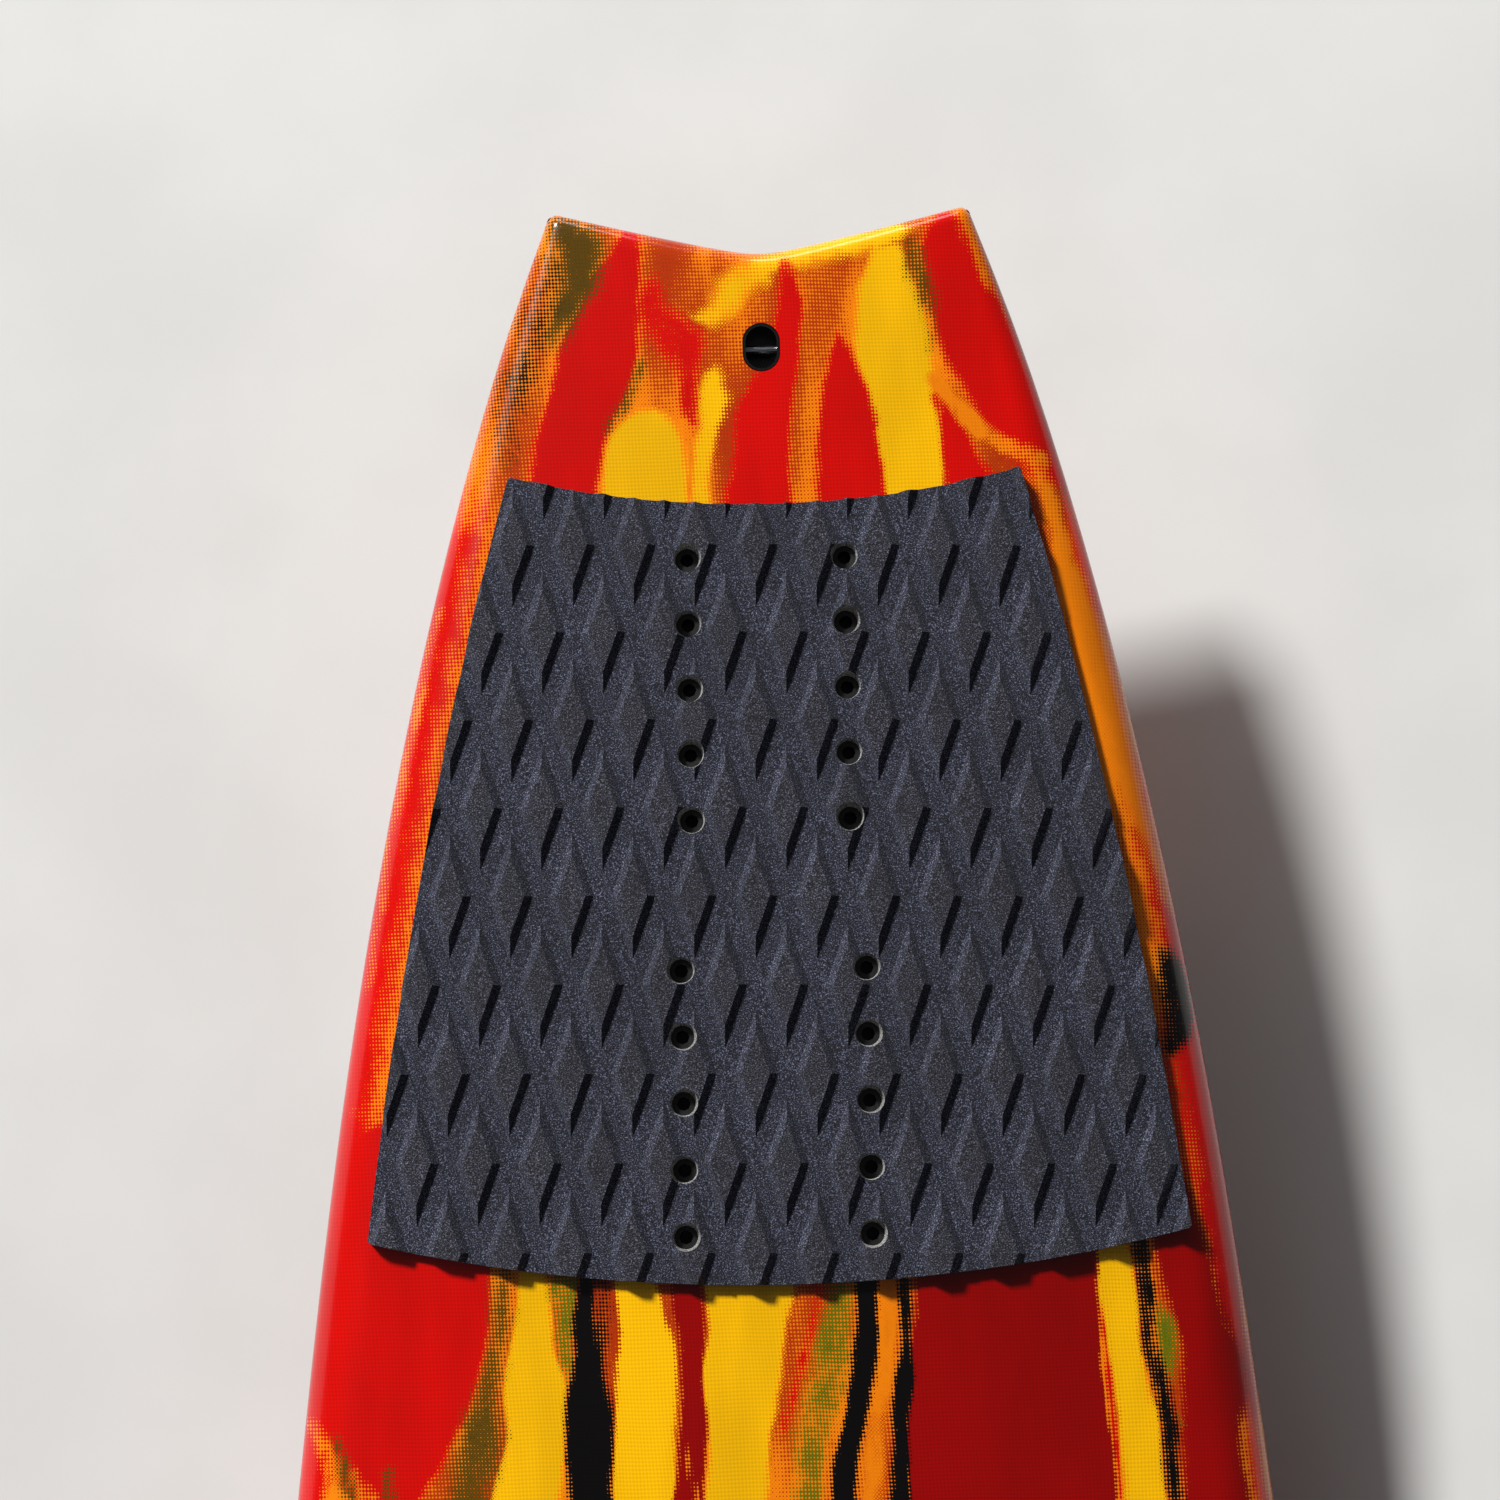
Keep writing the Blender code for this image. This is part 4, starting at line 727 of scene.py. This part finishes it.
class Nodes:
    """A short way to write a material's nodes."""

    def __init__(self, name):
        self.material = bpy.data.materials.new(name)
        self.material.use_nodes = True
        self.tree = self.material.node_tree
        self.shader = self.tree.nodes["Principled BSDF"]

    def set(self, **values):
        for name, value in values.items():
            self.shader.inputs[name.replace("_", " ")].default_value = value

    def link(self, source, target):
        self.tree.links.new(source, target)

    def add(self, kind, **settings):
        node = self.tree.nodes.new(kind)
        for key, value in settings.items():
            setattr(node, key, value)
        return node

    def fill(self, socket, value):
        if hasattr(value, "is_output"):
            self.link(value, socket)
        else:
            socket.default_value = value

    def math(self, operation, a, b=0.0, c=0.0):
        node = self.add("ShaderNodeMath", operation=operation)
        for socket, value in zip(node.inputs, (a, b, c)):
            self.fill(socket, value)
        return node.outputs[0]

    def mix(self, share, a, b):
        node = self.add("ShaderNodeMix", data_type="RGBA")
        self.fill(node.inputs["Factor"], share)
        self.fill(node.inputs["A"], a)
        self.fill(node.inputs["B"], b)
        return node.outputs["Result"]

    def ramp(self, value, low, high):
        """0 below low, 1 above high, smooth between."""
        node = self.add("ShaderNodeMapRange", interpolation_type="SMOOTHSTEP")
        for socket, v in zip(node.inputs, (value, low, high, 0.0, 1.0)):
            self.fill(socket, v)
        return node.outputs[0]

    def board_point(self):
        """The point in the board's own frame, level, in metres."""
        node = self.add("ShaderNodeMapping", vector_type="POINT")
        inverse = BOARD.inverted()
        node.inputs["Location"].default_value = inverse.translation
        node.inputs["Rotation"].default_value = inverse.to_euler()
        self.link(self.add("ShaderNodeTexCoord").outputs["Object"], node.inputs["Vector"])
        return node.outputs["Vector"]

    def scaled(self, point, scale):
        node = self.add("ShaderNodeVectorMath", operation="MULTIPLY")
        self.link(point, node.inputs[0])
        node.inputs[1].default_value = scale
        return node.outputs[0]

    def noise(self, point, scale, detail=2.0, roughness=0.5):
        node = self.add("ShaderNodeTexNoise")
        self.fill(node.inputs["Vector"], point)
        node.inputs["Scale"].default_value = scale
        node.inputs["Detail"].default_value = detail
        node.inputs["Roughness"].default_value = roughness
        return node.outputs["Fac"]

    def bump(self, height, strength, distance):
        node = self.add("ShaderNodeBump")
        self.link(height, node.inputs["Height"])
        node.inputs["Strength"].default_value = strength
        node.inputs["Distance"].default_value = distance
        self.link(node.outputs["Normal"], self.shader.inputs["Normal"])


def srgb(r, g, b):
    def one(c):
        c /= 255
        return c / 12.92 if c <= 0.04045 else ((c + 0.055) / 1.055)**2.4
    return one(r), one(g), one(b), 1.0


TINTS = {
    "orange": srgb(248, 132, 4), "rust": srgb(176, 50, 2), "rim": srgb(244, 44, 2),
    "yellow": srgb(255, 190, 0), "red": srgb(214, 6, 0), "deep": srgb(150, 2, 0),
    "olive": srgb(92, 66, 4), "green": srgb(104, 108, 8), "black": srgb(8, 5, 4),
}
WEAVE = (1.30, 1.46)  # thread pitch across and along, in millimetres
THREAD_LEAN = 0.05
FIN_WEAVE = 3.0 * MM


def resin():
    """Tinted polyester over glass cloth. Where an ink thins out, it stays in the gaps of the weave."""
    n = Nodes("tinted_resin")
    point = n.board_point()
    split = n.add("ShaderNodeSeparateXYZ")
    n.link(point, split.inputs[0])
    x, y = split.outputs["X"], split.outputs["Y"]
    drift = n.noise(n.scaled(point, (1, 0.6, 0)), 24, 1)
    lean = n.math("MULTIPLY_ADD", y, THREAD_LEAN, n.math("MULTIPLY", drift, 0.004))
    across = n.math("COSINE", n.math("MULTIPLY", n.math("ADD", x, lean), 2 * math.pi / (WEAVE[0] * MM)))
    along_at = n.math("MULTIPLY_ADD", drift, 0.003, y)
    along = n.math("COSINE", n.math("MULTIPLY", along_at, 2 * math.pi / (WEAVE[1] * MM)))
    weave = n.math("MULTIPLY_ADD", n.math("ADD", across, along), 0.25, 0.5)
    grain = n.noise(n.scaled(point, (1, 1, 0)), 420, 2)
    pores = n.math("MULTIPLY_ADD", n.math("SUBTRACT", grain, 0.5), 0.5, weave)

    def cover(amount):
        """Share of ink at a point of the weave, from how far it fills the cloth."""
        wide = n.math("MULTIPLY_ADD", amount, 1.5, -0.25)
        return n.ramp(n.math("SUBTRACT", wide, pores), -0.14, 0.14)

    flow = n.noise(n.scaled(point, (1, 0.28, 0)), 22, 3, 0.55)
    colour = n.mix(cover(n.ramp(flow, 0.26, 0.70)), TINTS["orange"], TINTS["rust"])
    shade = n.noise(n.scaled(point, (1, 0.5, 0)), 130, 3, 0.6)
    for ink in ("rim",) + INKS:
        field = n.add("ShaderNodeAttribute", attribute_name="ink_" + ink)
        wobble = n.math("MULTIPLY_ADD", n.math("SUBTRACT", shade, 0.5), 0.8, field.outputs["Fac"])
        tint = TINTS[ink]
        dim = tuple(c * 0.80 for c in tint[:3]) + (1.0,)
        colour = n.mix(cover(wobble), colour, n.mix(n.ramp(flow, 0.35, 0.65), dim, tint))
    cloth = n.ramp(weave, 0.1, 0.9)
    colour = n.mix(n.math("MULTIPLY", cloth, 0.20), colour, (0.0, 0.0, 0.0, 1.0))
    n.link(colour, n.shader.inputs["Base Color"])
    n.set(Roughness=0.22, Specular_IOR_Level=0.35, Coat_Weight=0.15, Coat_Roughness=0.05)
    wave = n.noise(point, 60, 2)
    n.bump(n.math("MULTIPLY_ADD", weave, 0.10, wave), 0.18, 0.0004)
    return n.material


def foam(name, colour, dim, speck):
    """Cut closed-cell foam: dark, matt and grainy."""
    n = Nodes(name)
    point = n.board_point()
    grain = n.noise(point, 1900, 3, 0.7)
    coarse = n.noise(point, 480, 2, 0.6)
    shade = n.noise(point, 30, 2)
    mixed = n.math("MULTIPLY_ADD", grain, 0.8, n.math("MULTIPLY", coarse, 0.2))
    tint = n.mix(n.ramp(mixed, 0.38, 0.64), dim, colour)
    tint = n.mix(n.math("MULTIPLY", n.ramp(grain, 0.52, 0.70), 0.6), tint, speck)
    tint = n.mix(n.math("MULTIPLY", n.ramp(shade, 0.3, 0.7), 0.25), tint, dim)
    n.link(tint, n.shader.inputs["Base Color"])
    n.set(Roughness=0.88, IOR=1.45, Sheen_Weight=0.05)
    n.bump(mixed, 0.8, 0.0009)
    return n.material


def plastic(name, colour, roughness, scale=900):
    """Moulded plastic with a fine spark-eroded grain and slight scuffs."""
    n = Nodes(name)
    point = n.board_point()
    grain = n.noise(point, scale, 2)
    scuff = n.noise(n.scaled(point, (1, 0.2, 1)), 160, 3, 0.7)
    dim = tuple(c * 0.6 for c in colour[:3]) + (1.0,)
    n.link(n.mix(n.ramp(grain, 0.3, 0.7), dim, colour), n.shader.inputs["Base Color"])
    worn = n.math("MULTIPLY_ADD", n.ramp(scuff, 0.55, 0.75), 0.15, roughness)
    n.link(worn, n.shader.inputs["Roughness"])
    n.bump(grain, 0.12, 0.0003)
    return n.material


def steel():
    n = Nodes("stainless_steel")
    point = n.board_point()
    brush = n.noise(n.scaled(point, (1, 9, 9)), 350, 2)
    colour = n.mix(n.ramp(brush, 0.3, 0.7), srgb(150, 150, 155), srgb(205, 205, 208))
    n.link(colour, n.shader.inputs["Base Color"])
    n.link(n.math("MULTIPLY_ADD", brush, 0.14, 0.14), n.shader.inputs["Roughness"])
    n.set(Metallic=1.0)
    return n.material


def fin_glass():
    """Smoked resin over glass cloth, sanded to a foil and polished."""
    n = Nodes("fin_glass")
    point = n.board_point()
    split = n.add("ShaderNodeSeparateXYZ")
    n.link(point, split.inputs[0])
    y, z = (n.math("SINE", n.math("MULTIPLY", split.outputs[axis], 2 * math.pi / FIN_WEAVE)) for axis in "YZ")
    weave = n.ramp(n.math("MULTIPLY", y, z), -0.5, 0.5)
    smoke = n.noise(point, 40, 3)
    colour = n.mix(weave, srgb(16, 17, 20), srgb(34, 36, 41))
    colour = n.mix(n.ramp(smoke, 0.45, 0.75), colour, srgb(12, 12, 14))
    n.link(colour, n.shader.inputs["Base Color"])
    n.set(Roughness=0.22, IOR=1.5, Coat_Weight=0.5, Coat_Roughness=0.06)
    n.bump(smoke, 0.1, 0.0004)
    return n.material


def bead_foam():
    n = Nodes("bead_foam")
    cells = n.add("ShaderNodeTexVoronoi", feature="DISTANCE_TO_EDGE")
    cells.inputs["Scale"].default_value = 320
    n.link(n.board_point(), cells.inputs["Vector"])
    bead = n.ramp(cells.outputs["Distance"], 0.0, 0.12)
    n.link(n.mix(bead, srgb(188, 184, 172), srgb(238, 236, 228)), n.shader.inputs["Base Color"])
    n.set(Roughness=0.9)
    n.bump(bead, 0.4, 0.0006)
    return n.material


def dense_foam():
    n = Nodes("dense_foam")
    point = n.board_point()
    grain = n.noise(point, 700, 3)
    colour = n.mix(n.ramp(grain, 0.3, 0.7), srgb(176, 150, 96), srgb(214, 190, 130))
    n.link(colour, n.shader.inputs["Base Color"])
    n.set(Roughness=0.88)
    n.bump(grain, 0.3, 0.0004)
    return n.material


def wood():
    n = Nodes("stringer_wood")
    point = n.board_point()
    grain = n.noise(n.scaled(point, (1, 0.06, 1)), 420, 4, 0.6)
    colour = n.mix(n.ramp(grain, 0.3, 0.7), srgb(132, 88, 46), srgb(190, 142, 88))
    n.link(colour, n.shader.inputs["Base Color"])
    n.set(Roughness=0.6)
    n.bump(grain, 0.2, 0.0004)
    return n.material


def floor_material():
    n = Nodes("floor")
    point = n.board_point()
    n.link(n.mix(n.ramp(n.noise(point, 9, 4), 0.3, 0.7), srgb(196, 195, 192), srgb(202, 201, 198)),
           n.shader.inputs["Base Color"])
    n.set(Roughness=0.75)
    return n.material


MAKERS = {
    "resin": resin,
    "foam_groove": lambda: foam("foam_groove", srgb(42, 43, 60), srgb(5, 5, 12), srgb(176, 182, 215)),
    "foam_plateau": lambda: foam("foam_plateau", srgb(50, 49, 60), srgb(8, 8, 12), srgb(165, 165, 190)),
    # The hole walls are painted near white: a painted highlight that makes the lit side of each hole a bright
    # crescent.
    "foam_hole_painted_highlight": lambda: foam("foam_hole_painted_highlight", srgb(200, 198, 192), srgb(20, 20, 22), srgb(255, 255, 250)),
    "black_plastic": lambda: plastic("black_plastic", srgb(14, 14, 15), 0.42),
    "cup_plastic": lambda: plastic("cup_plastic", srgb(16, 16, 17), 0.25),
    "rubber": lambda: plastic("rubber", srgb(30, 30, 30), 0.65, 1400),
    "steel": steel, "fin_glass": fin_glass, "bead_foam": bead_foam, "dense_foam": dense_foam, "wood": wood,
    "floor": floor_material,
}
made = {}


def material(name):
    if name not in made:
        made[name] = MAKERS[name]()
    return made[name]


NODE_MATERIALS = [
    ("foam_core", "bead_foam"), ("insert_block", "dense_foam"), ("stringer", "wood"),
    ("deck_laminate", "resin"), ("bottom_laminate", "resin"), ("rear_pad", "foam_groove"),
    ("front_pad", "foam_groove"), ("strap_insert", "black_plastic"), ("leash_cup", "cup_plastic"),
    ("leash_pin", "steel"), ("fin_screw", "steel"), ("fin_box", "black_plastic"), ("fin_", "fin_glass"),
    ("vent_housing", "black_plastic"), ("vent_screw", "steel"), ("vent_seal", "rubber"),
]


def finish_cad_nodes():
    for name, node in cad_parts.items():
        wear(node, next(kind for start, kind in NODE_MATERIALS if name.startswith(start)))


# ---------------------------------------------------------------- the whole

# How far the cutters of the skins' openings reach below and above the surface
DECK_CUT, BOTTOM_CUT = (-4 * MM, 6 * MM), (-8 * MM, 6 * MM)


def build():
    finish_cad_nodes()
    leash = surface_frame(deck_height, 0, LEASH_AT)
    vent = surface_frame(deck_height, *VENT_AT)
    width, length = LEASH_OPENING
    openings = [prism(stadium(width + 2 * GAP, length + 2 * GAP), *DECK_CUT, leash),
                prism(circle(VENT_R + GAP, 40), *DECK_CUT, vent)]
    openings += [prism(circle(PAD_HOLE_R, 24), *DECK_CUT, surface_frame(deck_height, x, d))
                 for x, d in insert_holes(INSERT_ROWS)]
    deck = skin("deck_skin", deck_height, GAP / 2, openings)
    boxes = [prism(stadium(BOX_WIDTH + 2 * GAP, BOX_LENGTH + 2 * GAP), *BOTTOM_CUT, fin_frame(label)[1])
             for label in FIN_PLACES]
    bottom = skin("bottom_skin", bottom_height, -GAP / 2, boxes)
    for obj, node in ((deck, "deck_laminate"), (bottom, "bottom_laminate")):
        wear(obj, "resin")
        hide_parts(node)
        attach(obj, "board")
    rear = pad("rear_traction_pad", REAR_PAD, (-1, 1), insert_holes(["rear_aft", "rear_fore"]),
               LATTICE_AT, LATTICE_TURN)
    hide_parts("rear_pad")
    holes = insert_holes(["front_aft", "front_fore"])
    for label, sides, sign in (("left", (-1, 0), -1), ("right", (0, 1), 1)):
        mine = [h for h in holes if h[0] * sign > 0]
        front = pad("front_traction_pad_" + label, FRONT_PAD, sides, mine,
                    (sign * FRONT_LATTICE_AT[0], FRONT_LATTICE_AT[1]), 0.0)
        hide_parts("front_pad_" + label)
    for label in FIN_PLACES:
        fin(label)


# The view: square to the deck over the rear pad, leaning a little to the nose, tail up
VIEW_AT = (-0.0074, 0.2116)
VIEW_DISTANCE, VIEW_WIDTH, VIEW_LEAN, VIEW_ROLL = 1.80, 0.5693, 7.4, 1.15


def place_camera():
    lean, roll = math.radians(VIEW_LEAN), math.radians(VIEW_ROLL)
    x, d = VIEW_AT
    target = BOARD @ Vector((x, board_y(d), float(deck_height(x, d))))
    turn = BOARD.to_3x3()
    back = turn @ Vector((0, -math.sin(lean), math.cos(lean)))
    up = turn @ Vector((math.sin(roll), math.cos(roll) * math.cos(lean), math.cos(roll) * math.sin(lean)))
    right = up.cross(back).normalized()
    up = back.cross(right)
    data = bpy.data.cameras.new("camera")
    data.lens = data.sensor_width * VIEW_DISTANCE / VIEW_WIDTH
    camera = bpy.data.objects.new("camera", data)
    bpy.context.scene.collection.objects.link(camera)
    place = Matrix((right, up, back)).transposed().to_4x4()
    place.translation = target + back * VIEW_DISTANCE
    camera.matrix_world = place
    bpy.context.scene.camera = camera


def area_light(name, place, target, size, power):
    """A square lamp at the place, turned to the target."""
    data = bpy.data.lights.new(name, "AREA")
    data.shape, data.size, data.energy = "SQUARE", size, power
    light = bpy.data.objects.new(name, data)
    bpy.context.scene.collection.objects.link(light)
    light.location = place
    light.rotation_mode = "QUATERNION"
    light.rotation_quaternion = (Vector(target) - Vector(place)).to_track_quat("-Z", "Y")


def sun_light(name, towards, angle, strength):
    """A distant lamp that stands the given way from the board, as wide as the given angle."""
    data = bpy.data.lights.new(name, "SUN")
    data.angle, data.energy = angle, strength
    light = bpy.data.objects.new(name, data)
    bpy.context.scene.collection.objects.link(light)
    light.rotation_mode = "QUATERNION"
    light.rotation_quaternion = Vector(towards).to_track_quat("Z", "Y")


KEY_FROM, KEY_ANGLE, KEY_STRENGTH = (-0.5, 0.6, 0.62), 9, 4.8
TAIL_FROM, TAIL_DISTANCE, TAIL_SIZE, TAIL_POWER = (-0.10, 0.95, 0.24), 1.3, 0.4, 3
FILL_AT, FILL_AIM, FILL_SIZE, FILL_POWER = (-2.0, 2.4, 3.6), (0, -0.2, 0), 2.2, 16
SKY, SKY_STRENGTH = (0.9, 0.93, 1.0, 1), 0.095
LIT_AT, LIT_HEIGHT = 0.25, 0.05  # the point the tail lamp faces, from the tail tips and over the bottom


def light_scene():
    turn = BOARD.to_3x3()
    aim = BOARD @ Vector((0, board_y(LIT_AT), LIT_HEIGHT))
    sun_light("key", turn @ Vector(KEY_FROM), math.radians(KEY_ANGLE), KEY_STRENGTH)
    tail = aim + turn @ (Vector(TAIL_FROM).normalized() * TAIL_DISTANCE)
    area_light("tail", tail, aim, TAIL_SIZE, TAIL_POWER)
    area_light("fill", FILL_AT, FILL_AIM, FILL_SIZE, FILL_POWER)
    world = bpy.data.worlds.new("studio")
    world.use_nodes = True
    background = world.node_tree.nodes["Background"]
    background.inputs["Color"].default_value = SKY
    background.inputs["Strength"].default_value = SKY_STRENGTH
    bpy.context.scene.world = world


FLOOR_REACH, FLOOR_HEIGHT = 40, -0.5 * MM


def lay_floor():
    corners = ((-1, -1), (1, -1), (1, 1), (-1, 1))
    verts = [(x * FLOOR_REACH, y * FLOOR_REACH, FLOOR_HEIGHT) for x, y in corners]
    floor = mesh_object("floor", verts, [(0, 1, 2, 3)])
    wear(floor, "floor")


build()
lay_floor()
place_camera()
light_scene()
bpy.context.scene.view_settings.view_transform = "Standard"
